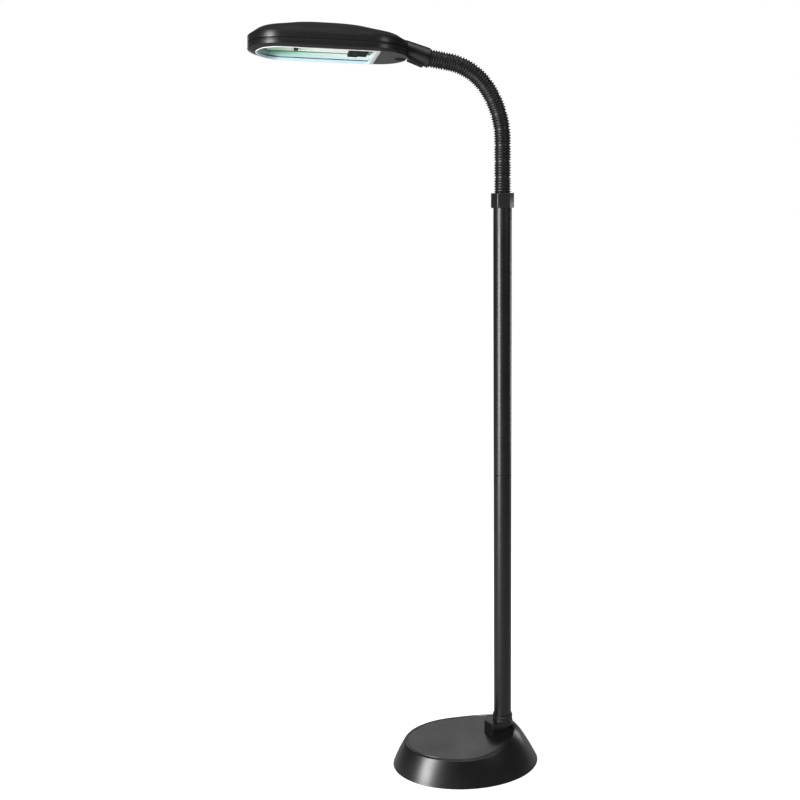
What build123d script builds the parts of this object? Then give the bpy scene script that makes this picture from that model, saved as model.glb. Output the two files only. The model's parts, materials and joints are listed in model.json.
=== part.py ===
from build123d import *
import os
from math import asin, cos, degrees, radians, sin, sqrt

# Task floor lamp with a weighted oval base, a two-piece pole, a ribbed flexible neck and a flat head.
# Lengths are millimetres and angles are degrees. The origin is on the floor under the pole,
# +X points to the toe of the base and the tip of the head, +Z is up.

# Fits between pieces, all measured on the radius or on one side
RUNNING_FIT = 0.05
ASSEMBLY_GAP = 0.2
PLATE_GAP = 0.5

# Base shell
FOOT_HEIGHT = 2.5
FOOT_R = 9.0
FOOT_RING_LENGTH = 270.0
FOOT_RING_WIDTH = 190.0
FOOT_RING_TURN = 40.0
SKIRT_LIFT = 2.0
BASE_LENGTH = 317.0
BASE_WIDTH = 236.0
BASE_AHEAD = 82.7
BASE_WALL = 3.0
SKIRT_RINGS = 6
SKIRT_CLOSING_HEIGHT = 133.0
SKIRT_CURVE = 0.426
SKIRT_DRIFT = 15.0

# Top face of the base: flat at the toe, then an arc that sweeps up to the pole
PLATEAU_HEIGHT = 55.0
SWEEP_START = 100.0
SWEEP_R = 290.0
SWEEP_TURN = 36.0

# Boss under the pole: an octagonal prow that stands out of the sweep, with a round pad under the ferrule
BOSS_TOP = 92.0
BOSS_R = 36.0
BOSS_SIDES = 8
BOSS_CORNER_R = 3.0
BOSS_PAD_EDGE = 0.5
BOSS_CAVITY_R = 16.0
BOSS_ROOF = 6.0

# Weight, bottom plate and their fasteners
PLATE_THICKNESS = 2.5
POST_R = 5.5
POST_RING_LENGTH = 249.0
POST_RING_WIDTH = 181.0
POST_RING_TURN = 45.0
PLATE_SCREW_R = 2.0
PLATE_SCREW_LENGTH = 16.0
PLATE_SCREW_HEAD_R = 4.0
PLATE_SCREW_HEAD = 1.6
WEIGHT_AHEAD = 97.0
WEIGHT_LENGTH = 180.0
WEIGHT_WIDTH = 128.0
WEIGHT_THICKNESS = 21.0
WEIGHT_LIFT = 8.0
WEIGHT_POST_R = 8.0
WEIGHT_BOLT_RING_R = 45.0
WEIGHT_BOLT_COUNT = 3
WEIGHT_BOLT_R = 3.0
WEIGHT_BOLT_GRIP = 14.0
WEIGHT_BOLT_HEAD_R = 5.5
WEIGHT_BOLT_HEAD = 4.0

# Cord grommet in the rear of the skirt and the flex inside the base and the pole
GROMMET_HEIGHT = 14.0
GROMMET_FLANGE_R = 6.5
GROMMET_NECK_R = 4.5
GROMMET_FLANGE = 2.0
GROMMET_RECESS = 1.6
GROMMET_PAD_R = 8.6
GROMMET_PAD = 4.0
FLEX_R = 2.6
FLEX_BEND_R = 24.0

# Pole
POLE_R = 18.5
TUBE_WALL = 1.2
SEAM_HEIGHT = 641.0
COUPLER_LENGTH = 90.0
COUPLER_WALL = 1.5
FOOT_PLUG_LENGTH = 34.0
STUD_R = 6.0
STUD_BORE_R = 3.4
STUD_BELOW = 14.0
STUD_ABOVE = 26.0
WASHER_R = 14.0
WASHER_THICKNESS = 2.0
NUT_FLATS = 19.0
NUT_HEIGHT = 7.0
FERRULE_HEIGHT = 15.0
FERRULE_WALL = 1.9
FERRULE_RIB = 1.0
FERRULE_RIB_HEIGHT = 3.6
FERRULE_RIB_COUNT = 2

# Collar nut at the top of the pole
COLLAR_BOTTOM = 1186.5
COLLAR_TOP = 1215.5
COLLAR_R = 23.6
COLLAR_SIDES = 6
COLLAR_TURN = -8.5
COLLAR_TAPER = 1.0
COLLAR_EDGE = 1.5
TUBE_BELOW_COLLAR_TOP = 15.0
TOP_PLUG_LENGTH = 44.0
TOP_PLUG_FLANGE = 3.0

# Flexible neck: straight runs and arcs, each with its length and the angle that it turns forwards
NECK_RUNS = ((101.0, 0.0), (104.5, 33.8), (93.5, 45.7), (40.0, 0.0))
NECK_LINKS = 11
RIBS_PER_LINK = 6
RIB_CREST_R = 16.9
RIB_ROOT_R = 14.3
RIB_CREST_WIDTH = 1.5
RIB_ROOT_WIDTH = 3.0
SLEEVE_BORE_R = 12.4
SLEEVE_BORE_RINGS = 5
SLEEVE_TUCK = 9.0
LINK_GAP = 3.4

# Core links inside the sleeve
BALL_R = 8.0
SOCKET_R = 10.6
SOCKET_REACH = 114.0
STEM_R = 4.5
CORE_BORE_R = 2.6
CORE_LAND_WIDTH = 7.0
SPIGOT_LENGTH = 24.0

# Lamp head, drawn in its own plane: x to the tip, y across, z up from the lens plane
HEAD_AHEAD = 100.4
HEAD_RISE = 0.4
HEAD_PITCH = 2.6
HEAD_ROLL = 2.0
HEAD_WIDTH = 164.0
HEAD_TIP = 245.0
HEAD_TIP_RUN = 64.0
HEAD_SHOULDER = 20.0
HEAD_REAR = 57.0
HEAD_REAR_WIDTH = 36.0
HEAD_WALL = 2.5
RIM_INSET = 11.5
RIM_SHOULDER = -2.0
RIM_HEIGHT = 3.8
PARTING_HEIGHT = 14.5
SHOULDER_HEIGHT = 27.6
BAND_GROOVE = 0.8
FACET_RUN = 21.5
FACET_TIP = 224.0
FACET_TIP_RUN = 55.0
FACET_SHOULDER = 82.0
FACET_REAR = -34.0
FACET_HEIGHT = 42.5
CROWN_RUN = 28.5
CROWN_TIP = 172.0
CROWN_TIP_RUN = 60.0
CROWN_SHOULDER = 95.0
CROWN_REAR = 22.0
CROWN_HEIGHT = 53.5

# Neck of the head
NECK_END_R = 18.5
CREASE_HEIGHT = 19.5
CREASE_WIDTH = 35.0
CREASE_DEPTH = 31.0
FAIRING_LENGTH = 14.0
SPIGOT_BORE_R = 11.0
LEAD_HOLE_R = 4.0
CLAMP_LENGTH = 15.0
LUG_LENGTH = 33.0
LUG_WIDTH = 20.0
LUG_DEPTH = 20.5
LUG_CORNER_R = 4.0
LUG_SETBACK = 5.0
CLAMP_SCREW_R = 2.0
CLAMP_SCREW_HEAD_R = 3.4
CLAMP_SCREW_HEAD = 2.4
CLAMP_SCREW_SEAT = 2.0

# Lens, its frame and the reflector
LENS_LENGTH = 230.0
LENS_WIDTH = 138.0
LENS_TIP_RUN = 49.0
FRAME_LIP = 2.6
FRAME_REAR_LIP = 9.0
FRAME_PROUD = 1.0
FRAME_FLANGE = 1.2
FRAME_FLANGE_THICKNESS = 1.5
LENS_THICKNESS = 2.0
LENS_OVERLAP = 1.0
REFLECTOR_HEIGHT = 24.0
REFLECTOR_SLOPE = 16.0
REFLECTOR_WALL = 1.0

# Flat four-limb lamp with its base, holder and clip
TUBE_R = 6.0
TUBE_PITCH = 15.0
TUBE_LIFT = 15.5
TUBE_BRIDGE_R = 3.0
TUBE_BRIDGE_AHEAD = 12.0
LAMP_TIP = 212.0
HOLDER_X = 18.0
HOLDER_LENGTH = 16.0
HOLDER_WIDTH = 52.0
LAMP_BASE_LENGTH = 20.0
LAMP_BASE_WIDTH = 64.0
LAMP_BASE_HEIGHT = 15.0
CLIP_X = 150.0
CLIP_LENGTH = 8.0
CLIP_WALL = 2.0
CLIP_FOOT_WIDTH = 18.0

# Ballast board above the reflector
BOARD_X = 70.0
BOARD_LENGTH = 96.0
BOARD_WIDTH = 44.0
BOARD_THICKNESS = 1.6
BOARD_LIFT = 3.0
BOARD_PILLAR_R = 2.5
BOARD_PILLAR_INSET = 5.0
CHOKE_LENGTH = 20.0
CHOKE_WIDTH = 18.0
CHOKE_HEIGHT = 11.0
CAPACITOR_R = 5.0
CAPACITOR_LENGTH = 22.0

# Rocker switch in the underside panel
SWITCH_X = -45.0
SWITCH_LENGTH = 20.0
SWITCH_WIDTH = 15.0
SWITCH_FLANGE = 1.6
SWITCH_BODY_LENGTH = 16.5
SWITCH_BODY_WIDTH = 12.0
SWITCH_BODY_HEIGHT = 12.0
ROCKER_LENGTH = 12.0
ROCKER_WIDTH = 8.0
ROCKER_TOP_LENGTH = 13.0
ROCKER_RISE = 1.0
ROCKER_END_DEPTH = 6.5
ROCKER_MIDDLE_DEPTH = 4.6
ROCKER_TILT = 9.0
ROCKER_PIVOT_HEIGHT = 2.5
ROCKER_PIN_R = 1.2
ROCKER_PIN_LENGTH = 10.4
ROCKER_GAP = 0.35

# Screws that join the two head shells
HEAD_SCREW_XS = (50.0, 160.0)
HEAD_POST_R = 3.6
HEAD_POST_SINK = 0.4
HEAD_SCREW_R = 1.4
HEAD_SCREW_LENGTH = 16.0
HEAD_SCREW_HEAD_R = 2.6
HEAD_SCREW_HEAD = 2.0
HEAD_SCREW_SEAT = 10.0

os.makedirs("parts", exist_ok=True)


def keep(piece, name):
    """Label a finished piece and write it to its own file."""
    piece.part.label = name
    export_step(piece.part, f"parts/{name}.step")


# Base
def skirt_size(height, wall=0.0):
    """Half length, half width and place ahead of the pole of the skirt at a height, shrunk by a wall."""
    share = (1 - (height - SKIRT_LIFT) / SKIRT_CLOSING_HEIGHT) ** SKIRT_CURVE
    ahead = BASE_AHEAD + SKIRT_DRIFT * (1 - share)
    return BASE_LENGTH / 2 * share - wall, BASE_WIDTH / 2 * share - wall, ahead


def skirt_rear(height):
    """Place of the rear of the skirt at a height."""
    size = skirt_size(height)
    return size[2] - size[0]


def skirt_rings(wall=0.0):
    """Draw the rings of the skirt, shrunk by a wall, from the floor edge to the top of the boss."""
    rings = []
    for ring in range(SKIRT_RINGS):
        height = SKIRT_LIFT + (BOSS_TOP - SKIRT_LIFT) * ring / (SKIRT_RINGS - 1)
        half_length, half_width, ahead = skirt_size(height, wall)
        with BuildSketch(Plane((ahead, 0, height))) as outline:
            Ellipse(half_length, half_width)
        rings.append(outline.sketch)
    return rings


def above_sweep(wall=0.0):
    """Draw the space above the top face, seen from the side, or above the roof one wall under it."""
    flat = PLATEAU_HEIGHT - wall
    toe = BASE_AHEAD + BASE_LENGTH
    turn = radians(SWEEP_TURN)
    sweep_end = (SWEEP_START - SWEEP_R * sin(turn), flat + SWEEP_R * (1 - cos(turn)))
    with BuildSketch(Plane.XZ) as side:
        with BuildLine():
            Line((toe, flat), (SWEEP_START, flat))
            CenterArc((SWEEP_START, flat + SWEEP_R), SWEEP_R, -90, -SWEEP_TURN)
            Polyline(sweep_end, (toe, sweep_end[1]), (toe, flat))
        make_face()
    return side.sketch


def ring_points(length, width, turn):
    """Four points on an ellipse about the middle of the base, mirrored in both axes."""
    x = length / 2 * cos(radians(turn))
    y = width / 2 * sin(radians(turn))
    return [(BASE_AHEAD + sx * x, sy * y) for sx in (1, -1) for sy in (1, -1)]


plate_top = FOOT_HEIGHT + PLATE_THICKNESS
weight_top = WEIGHT_LIFT + WEIGHT_THICKNESS
roof_under = PLATEAU_HEIGHT - BASE_WALL
boss_under = BOSS_TOP - BOSS_ROOF
boss_pad_r = POLE_R + FERRULE_WALL + FERRULE_RIB + BOSS_PAD_EDGE
post_spots = ring_points(POST_RING_LENGTH, POST_RING_WIDTH, POST_RING_TURN)
grommet_seat = skirt_rear(GROMMET_HEIGHT + GROMMET_FLANGE_R) + GROMMET_FLANGE + GROMMET_RECESS
grommet_reach = grommet_seat - skirt_rear(SKIRT_LIFT)
grommet_out = Plane((grommet_seat, 0, GROMMET_HEIGHT), x_dir=(0, 1, 0), z_dir=(-1, 0, 0))
grommet_in = Plane((grommet_seat, 0, GROMMET_HEIGHT), x_dir=(0, 1, 0), z_dir=(1, 0, 0))
weight_spots = [
    (
        WEIGHT_AHEAD + WEIGHT_BOLT_RING_R * cos(radians(360 / WEIGHT_BOLT_COUNT * bolt)),
        WEIGHT_BOLT_RING_R * sin(radians(360 / WEIGHT_BOLT_COUNT * bolt)),
    )
    for bolt in range(WEIGHT_BOLT_COUNT)
]

# The hollow of the base, with the screw posts and the pad behind the grommet left standing in it
with BuildPart() as base_hollow:
    loft(skirt_rings(BASE_WALL))
    extrude(above_sweep(BASE_WALL), amount=BASE_WIDTH, both=True, mode=Mode.SUBTRACT)
    with BuildSketch(Plane.XY.offset(plate_top)):
        with Locations(*post_spots):
            Circle(POST_R)
    extrude(amount=BOSS_TOP, mode=Mode.SUBTRACT)
    with BuildSketch(Plane.XY.offset(weight_top)):
        with Locations(*weight_spots):
            Circle(WEIGHT_POST_R)
    extrude(amount=PLATEAU_HEIGHT, mode=Mode.SUBTRACT)
    with BuildSketch(grommet_in.offset(GROMMET_PAD)):
        Circle(GROMMET_PAD_R)
    extrude(amount=-GROMMET_PAD - grommet_reach, mode=Mode.SUBTRACT)

# What is cut away above the top face, with the octagonal boss left standing in it
with BuildPart() as base_sky:
    extrude(above_sweep(), amount=BASE_WIDTH, both=True)
    with BuildSketch(Plane.XY) as boss_outline:
        RegularPolygon(BOSS_R, BOSS_SIDES)
        fillet(boss_outline.vertices(), BOSS_CORNER_R)
    extrude(amount=BOSS_TOP, mode=Mode.SUBTRACT)

with BuildPart() as base_shell:
    loft(skirt_rings())
    add(base_sky.part, mode=Mode.SUBTRACT)
    with BuildSketch(Plane.XY.offset(PLATEAU_HEIGHT)):
        Circle(boss_pad_r)
    extrude(amount=BOSS_TOP - PLATEAU_HEIGHT)
    add(base_hollow.part, mode=Mode.SUBTRACT)
    with BuildSketch(Plane.XY.offset(roof_under)):
        Circle(BOSS_CAVITY_R)
    extrude(amount=boss_under - roof_under, mode=Mode.SUBTRACT)
    with BuildSketch(Plane.XY.offset(boss_under)):
        Circle(STUD_R + RUNNING_FIT)
    extrude(amount=BOSS_ROOF, mode=Mode.SUBTRACT)
    with BuildSketch(Plane.XY.offset(plate_top)):
        with Locations(*post_spots):
            Circle(PLATE_SCREW_R + RUNNING_FIT)
    extrude(amount=PLATE_SCREW_LENGTH, mode=Mode.SUBTRACT)
    with BuildSketch(Plane.XY.offset(weight_top)):
        with Locations(*weight_spots):
            Circle(WEIGHT_BOLT_R + RUNNING_FIT)
    extrude(amount=WEIGHT_BOLT_GRIP, mode=Mode.SUBTRACT)
    with BuildSketch(grommet_in):
        Circle(GROMMET_NECK_R + RUNNING_FIT)
    extrude(amount=GROMMET_PAD, mode=Mode.SUBTRACT)
    with BuildSketch(grommet_out):
        Circle(GROMMET_FLANGE_R + ASSEMBLY_GAP)
    extrude(amount=grommet_reach, mode=Mode.SUBTRACT)
keep(base_shell, "base_shell")

with BuildPart() as base_weight:
    with BuildSketch(Plane((WEIGHT_AHEAD, 0, WEIGHT_LIFT))):
        Ellipse(WEIGHT_LENGTH / 2, WEIGHT_WIDTH / 2)
    extrude(amount=WEIGHT_THICKNESS)
    with Locations(*[(x, y, weight_top) for x, y in weight_spots]):
        Hole(WEIGHT_BOLT_R + RUNNING_FIT, WEIGHT_THICKNESS)
    with BuildSketch(Plane.XY.offset(WEIGHT_LIFT)):
        with Locations(*weight_spots):
            Circle(WEIGHT_BOLT_HEAD_R + ASSEMBLY_GAP)
    extrude(amount=WEIGHT_BOLT_HEAD, mode=Mode.SUBTRACT)
keep(base_weight, "base_weight")

with BuildPart() as weight_bolts:
    with BuildSketch(Plane.XY.offset(WEIGHT_LIFT)):
        with Locations(*weight_spots):
            Circle(WEIGHT_BOLT_HEAD_R)
    extrude(amount=WEIGHT_BOLT_HEAD)
    with BuildSketch(Plane.XY.offset(WEIGHT_LIFT + WEIGHT_BOLT_HEAD)):
        with Locations(*weight_spots):
            Circle(WEIGHT_BOLT_R)
    extrude(amount=WEIGHT_THICKNESS - WEIGHT_BOLT_HEAD + WEIGHT_BOLT_GRIP)
keep(weight_bolts, "weight_bolts")

with BuildPart() as base_plate:
    plate_half_length, plate_half_width, plate_ahead = skirt_size(plate_top, BASE_WALL + PLATE_GAP)
    with BuildSketch(Plane((plate_ahead, 0, FOOT_HEIGHT))):
        Ellipse(plate_half_length, plate_half_width)
    extrude(amount=PLATE_THICKNESS)
    with Locations(*[(x, y, plate_top) for x, y in post_spots]):
        Hole(PLATE_SCREW_R + RUNNING_FIT, PLATE_THICKNESS)
keep(base_plate, "base_plate")

with BuildPart() as base_screws:
    with BuildSketch(Plane.XY.offset(FOOT_HEIGHT - PLATE_SCREW_HEAD)):
        with Locations(*post_spots):
            Circle(PLATE_SCREW_HEAD_R)
    extrude(amount=PLATE_SCREW_HEAD)
    with BuildSketch(Plane.XY.offset(FOOT_HEIGHT)):
        with Locations(*post_spots):
            Circle(PLATE_SCREW_R)
    extrude(amount=PLATE_SCREW_LENGTH)
keep(base_screws, "base_screws")

with BuildPart() as base_feet:
    with BuildSketch(Plane.XY):
        with Locations((0, 0), *ring_points(FOOT_RING_LENGTH, FOOT_RING_WIDTH, FOOT_RING_TURN)):
            Circle(FOOT_R)
    extrude(amount=FOOT_HEIGHT)
keep(base_feet, "base_feet")

with BuildPart() as cord_grommet:
    with BuildSketch(grommet_out):
        Circle(GROMMET_FLANGE_R)
    extrude(amount=GROMMET_FLANGE)
    with BuildSketch(grommet_in):
        Circle(GROMMET_NECK_R)
    extrude(amount=GROMMET_PAD + GROMMET_FLANGE)
    with BuildSketch(grommet_out.offset(GROMMET_FLANGE)):
        Circle(FLEX_R + RUNNING_FIT)
    extrude(amount=-GROMMET_PAD - 2 * GROMMET_FLANGE, mode=Mode.SUBTRACT)
    fillet(cord_grommet.edges().group_by(Axis.X)[0].sort_by(SortBy.RADIUS)[-1], GROMMET_FLANGE / 2)
keep(cord_grommet, "cord_grommet")

# Pole
tube_bore_r = POLE_R - TUBE_WALL
inner_fit_r = tube_bore_r - RUNNING_FIT
tube_top = COLLAR_TOP - TUBE_BELOW_COLLAR_TOP
stud_bottom = boss_under - STUD_BELOW
stud_top = BOSS_TOP + STUD_ABOVE


def tube(outer_r, inner_r, bottom, top):
    """Extrude a plain round tube between two heights on the pole axis."""
    with BuildSketch(Plane.XY.offset(bottom)) as ring:
        Circle(outer_r)
        Circle(inner_r, mode=Mode.SUBTRACT)
    extrude(ring.sketch, amount=top - bottom)


with BuildPart() as pole_stud:
    tube(STUD_R, STUD_BORE_R, stud_bottom, stud_top)
keep(pole_stud, "pole_stud")

with BuildPart() as pole_washer:
    tube(WASHER_R, STUD_R + RUNNING_FIT, boss_under - WASHER_THICKNESS, boss_under)
keep(pole_washer, "pole_washer")

with BuildPart() as pole_nut:
    with BuildSketch(Plane.XY.offset(boss_under - WASHER_THICKNESS - NUT_HEIGHT)):
        RegularPolygon(NUT_FLATS / 2, 6, major_radius=False)
        Circle(STUD_R + RUNNING_FIT, mode=Mode.SUBTRACT)
    extrude(amount=NUT_HEIGHT)
keep(pole_nut, "pole_nut")

with BuildPart() as pole_foot_plug:
    tube(inner_fit_r, STUD_R + RUNNING_FIT, BOSS_TOP, BOSS_TOP + FOOT_PLUG_LENGTH)
keep(pole_foot_plug, "pole_foot_plug")

with BuildPart() as pole_foot_ferrule:
    tube(POLE_R + FERRULE_WALL, POLE_R + RUNNING_FIT, BOSS_TOP, BOSS_TOP + FERRULE_HEIGHT)
    rib_step = FERRULE_HEIGHT / FERRULE_RIB_COUNT
    for rib in range(FERRULE_RIB_COUNT):
        rib_bottom = BOSS_TOP + rib_step * (rib + 1) - FERRULE_RIB_HEIGHT
        rib_r = POLE_R + FERRULE_WALL + FERRULE_RIB
        tube(rib_r, POLE_R + RUNNING_FIT, rib_bottom, rib_bottom + FERRULE_RIB_HEIGHT)
keep(pole_foot_ferrule, "pole_foot_ferrule")

with BuildPart() as pole_lower_tube:
    tube(POLE_R, tube_bore_r, BOSS_TOP, SEAM_HEIGHT)
keep(pole_lower_tube, "pole_lower_tube")

with BuildPart() as pole_coupler:
    coupler_bottom = SEAM_HEIGHT - COUPLER_LENGTH / 2
    tube(inner_fit_r, inner_fit_r - COUPLER_WALL, coupler_bottom, coupler_bottom + COUPLER_LENGTH)
keep(pole_coupler, "pole_coupler")

with BuildPart() as pole_upper_tube:
    tube(POLE_R, tube_bore_r, SEAM_HEIGHT, tube_top)
keep(pole_upper_tube, "pole_upper_tube")

with BuildPart() as pole_top_plug:
    tube(inner_fit_r, SOCKET_R + RUNNING_FIT, tube_top - TOP_PLUG_LENGTH, tube_top)
    tube(POLE_R, SOCKET_R + RUNNING_FIT, tube_top, tube_top + TOP_PLUG_FLANGE)
keep(pole_top_plug, "pole_top_plug")

with BuildPart() as pole_top_collar:
    with BuildSketch(Plane.XY.offset(COLLAR_BOTTOM)):
        RegularPolygon(COLLAR_R, COLLAR_SIDES, rotation=COLLAR_TURN)
    extrude(amount=COLLAR_TOP - COLLAR_BOTTOM, taper=COLLAR_TAPER)
    fillet(pole_top_collar.edges().filter_by(Plane.XY, reverse=True), COLLAR_EDGE)
    with BuildSketch(Plane.XY.offset(COLLAR_BOTTOM)):
        Circle(POLE_R + RUNNING_FIT)
    extrude(amount=tube_top + TOP_PLUG_FLANGE - COLLAR_BOTTOM, mode=Mode.SUBTRACT)
    with BuildSketch(Plane.XY.offset(COLLAR_BOTTOM)):
        Circle(RIB_CREST_R + ASSEMBLY_GAP)
    extrude(amount=COLLAR_TOP - COLLAR_BOTTOM, mode=Mode.SUBTRACT)
keep(pole_top_collar, "pole_top_collar")

# The flex comes in through the grommet, turns up under the pole and ends at the foot of the neck
with BuildPart() as supply_flex:
    with BuildLine():
        FilletPolyline(
            (grommet_seat, 0, GROMMET_HEIGHT),
            (0, 0, GROMMET_HEIGHT),
            (0, 0, tube_top - SPIGOT_LENGTH),
            radius=FLEX_BEND_R,
        )
    with BuildSketch(grommet_in):
        Circle(FLEX_R)
    sweep()
keep(supply_flex, "supply_flex")

# Flexible neck
neck_length = sum(length for length, turn in NECK_RUNS)
link_length = neck_length / NECK_LINKS


def neck_plane(distance):
    """Plane square to the neck at a distance along its centreline, with a steady x axis."""
    x, z, angle = 0.0, COLLAR_TOP, 0.0
    left = distance
    for length, turn in NECK_RUNS:
        is_last = (length, turn) == NECK_RUNS[-1]
        step = left if is_last or left < length else length
        if turn:
            bend_r = length / radians(turn)
            end = angle + radians(turn) * step / length
            x += bend_r * (cos(angle) - cos(end))
            z += bend_r * (sin(end) - sin(angle))
            angle = end
        else:
            x += step * sin(angle)
            z += step * cos(angle)
        left -= step
        if left <= 0:
            break
    return Plane((x, 0, z), x_dir=(0, 1, 0), z_dir=(sin(angle), 0, cos(angle)))


def neck_rings(rings):
    """Draw one circle for each distance and radius along the neck."""
    circles = []
    for distance, radius in rings:
        with BuildSketch(neck_plane(distance)) as ring:
            Circle(radius)
        circles.append(ring.sketch)
    return circles


def rib_rings(link):
    """Distances and radii of the ribs on one link, root and crest in turn."""
    first = link * link_length + LINK_GAP / 2 + RIB_ROOT_WIDTH / 2
    last = (link + 1) * link_length - LINK_GAP / 2 - RIB_ROOT_WIDTH / 2
    pitch = (last - first) / (RIBS_PER_LINK - 1)
    rings = []
    for rib in range(RIBS_PER_LINK):
        middle = first + rib * pitch
        rings.append((middle - RIB_ROOT_WIDTH / 2, RIB_ROOT_R))
        rings.append((middle - RIB_CREST_WIDTH / 2, RIB_CREST_R))
        rings.append((middle + RIB_CREST_WIDTH / 2, RIB_CREST_R))
        rings.append((middle + RIB_ROOT_WIDTH / 2, RIB_ROOT_R))
    if link == 0:
        rings.insert(0, (-SLEEVE_TUCK, RIB_ROOT_R))
    if link == NECK_LINKS - 1:
        rings.append((neck_length + SLEEVE_TUCK, RIB_ROOT_R))
    return rings


for link in range(NECK_LINKS):
    outside = rib_rings(link)
    sleeve_start = outside[0][0]
    sleeve_end = outside[-1][0]
    bore_step = (sleeve_end - sleeve_start) / (SLEEVE_BORE_RINGS - 1)
    bore = [(sleeve_start + bore_step * ring, SLEEVE_BORE_R) for ring in range(SLEEVE_BORE_RINGS)]
    with BuildPart() as neck_sleeve:
        loft(neck_rings(outside), ruled=True)
        loft(neck_rings(bore), ruled=True, mode=Mode.SUBTRACT)
    keep(neck_sleeve, f"neck_sleeve_{link + 1:02d}")

socket_bore_r = BALL_R + RUNNING_FIT


def on_circle(middle, radius, angle):
    """Point on a circle about a place on the link axis, the angle from that axis."""
    return middle + radius * cos(radians(angle)), radius * sin(radians(angle))


for link in range(NECK_LINKS):
    foot = neck_plane(link * link_length).origin
    tip = neck_plane((link + 1) * link_length).origin
    along = (tip - foot).normalized()
    reach = (tip - foot).length
    land_start = (reach - CORE_LAND_WIDTH) / 2
    land_end = land_start + CORE_LAND_WIDTH
    is_first = link == 0
    is_last = link == NECK_LINKS - 1
    bow = (neck_plane((link + 0.5) * link_length).origin - (foot + tip) / 2).length
    land_r = SLEEVE_BORE_R - bow - ASSEMBLY_GAP
    bore_angle = degrees(asin(CORE_BORE_R / socket_bore_r))
    ball_bore_angle = degrees(asin(CORE_BORE_R / BALL_R))
    stem_angle = 180 - degrees(asin(STEM_R / BALL_R))
    with BuildPart() as neck_core:
        with BuildSketch(Plane(foot, x_dir=along, z_dir=(0, 1, 0))):
            with BuildLine():
                if is_first:
                    bore_start = (-SPIGOT_LENGTH, CORE_BORE_R)
                    Polyline(bore_start, (-SPIGOT_LENGTH, SOCKET_R), (land_start, SOCKET_R))
                else:
                    bore_start = on_circle(0, socket_bore_r, bore_angle)
                    inner_lip = on_circle(0, socket_bore_r, SOCKET_REACH)
                    outer_lip = on_circle(0, SOCKET_R, SOCKET_REACH)
                    middle_angle = (bore_angle + SOCKET_REACH) / 2
                    ThreePointArc(bore_start, on_circle(0, socket_bore_r, middle_angle), inner_lip)
                    Line(inner_lip, outer_lip)
                    ThreePointArc(outer_lip, on_circle(0, SOCKET_R, (SOCKET_REACH + 90) / 2), (0, SOCKET_R))
                    Line((0, SOCKET_R), (land_start, SOCKET_R))
                Polyline((land_start, SOCKET_R), (land_start, land_r), (land_end, land_r))
                if is_last:
                    bore_end = (reach + SPIGOT_LENGTH, CORE_BORE_R)
                    Polyline(
                        (land_end, land_r),
                        (land_end, BALL_R),
                        (reach + SPIGOT_LENGTH, BALL_R),
                        bore_end,
                    )
                else:
                    ball_start = on_circle(reach, BALL_R, stem_angle)
                    bore_end = on_circle(reach, BALL_R, ball_bore_angle)
                    Polyline((land_end, land_r), (land_end, STEM_R), ball_start)
                    ThreePointArc(ball_start, on_circle(reach, BALL_R, 90), bore_end)
                Line(bore_end, bore_start)
            make_face()
        revolve(axis=Axis(foot, along))
    keep(neck_core, f"neck_core_{link + 1:02d}")

# Lamp head
pitch_cos, pitch_sin = cos(radians(HEAD_PITCH)), sin(radians(HEAD_PITCH))
roll_cos, roll_sin = cos(radians(HEAD_ROLL)), sin(radians(HEAD_ROLL))
neck_end = neck_plane(neck_length)
head = Plane(
    (neck_end.origin.X + HEAD_AHEAD, 0, neck_end.origin.Z + HEAD_RISE),
    x_dir=(pitch_cos, 0, pitch_sin),
    z_dir=(-pitch_sin * roll_cos, -roll_sin, pitch_cos * roll_cos),
)


def head_outline(height, inset, rear, shoulder, tip=HEAD_TIP, tip_run=HEAD_TIP_RUN):
    """Draw a paddle outline at a height: drawn in at its sides, cut at its rear and round at its tip."""
    half = HEAD_WIDTH / 2 - inset
    rear_half = HEAD_REAR_WIDTH / 2 * half / (HEAD_WIDTH / 2)
    tip_middle = tip - tip_run
    shoulder_run = (shoulder - rear) / sqrt(1 - (rear_half / half) ** 2)
    rear_angle = 180 - degrees(asin(rear_half / half))
    with BuildSketch(head.offset(height)) as outline:
        with BuildLine():
            Line((shoulder, -half), (tip_middle, -half))
            EllipticalCenterArc((tip_middle, 0), tip_run, half, start_angle=-90, arc_size=180)
            Line((tip_middle, half), (shoulder, half))
            EllipticalCenterArc((shoulder, 0), shoulder_run, half, start_angle=90, arc_size=rear_angle - 90)
            Line((rear, rear_half), (rear, -rear_half))
            EllipticalCenterArc(
                (shoulder, 0), shoulder_run, half, start_angle=360 - rear_angle, arc_size=rear_angle - 90
            )
        make_face()
    return outline.sketch


def band_outline(height, wall=0.0):
    """Draw the full outline of the head, or the hollow one wall inside it."""
    return head_outline(
        height, wall, wall - HEAD_REAR, HEAD_SHOULDER, HEAD_TIP - wall, HEAD_TIP_RUN - wall
    )


def rim_outline(height, rear_wall=0.0):
    """Draw the outline where the lower edge of the head meets the lens panel."""
    return head_outline(
        height, RIM_INSET, rear_wall - HEAD_REAR, RIM_SHOULDER, HEAD_TIP - RIM_INSET, HEAD_TIP_RUN - RIM_INSET
    )


def facet_outline(height, rear_wall=0.0):
    """Draw the outline where the sloping facet of the top meets the crown."""
    return head_outline(height, FACET_RUN, rear_wall + FACET_REAR, FACET_SHOULDER, FACET_TIP, FACET_TIP_RUN)


def crown_outline(height):
    """Draw the edge of the flat of the crown."""
    inset = FACET_RUN + CROWN_RUN
    return head_outline(height, inset, CROWN_REAR, CROWN_SHOULDER, CROWN_TIP, CROWN_TIP_RUN)


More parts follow.
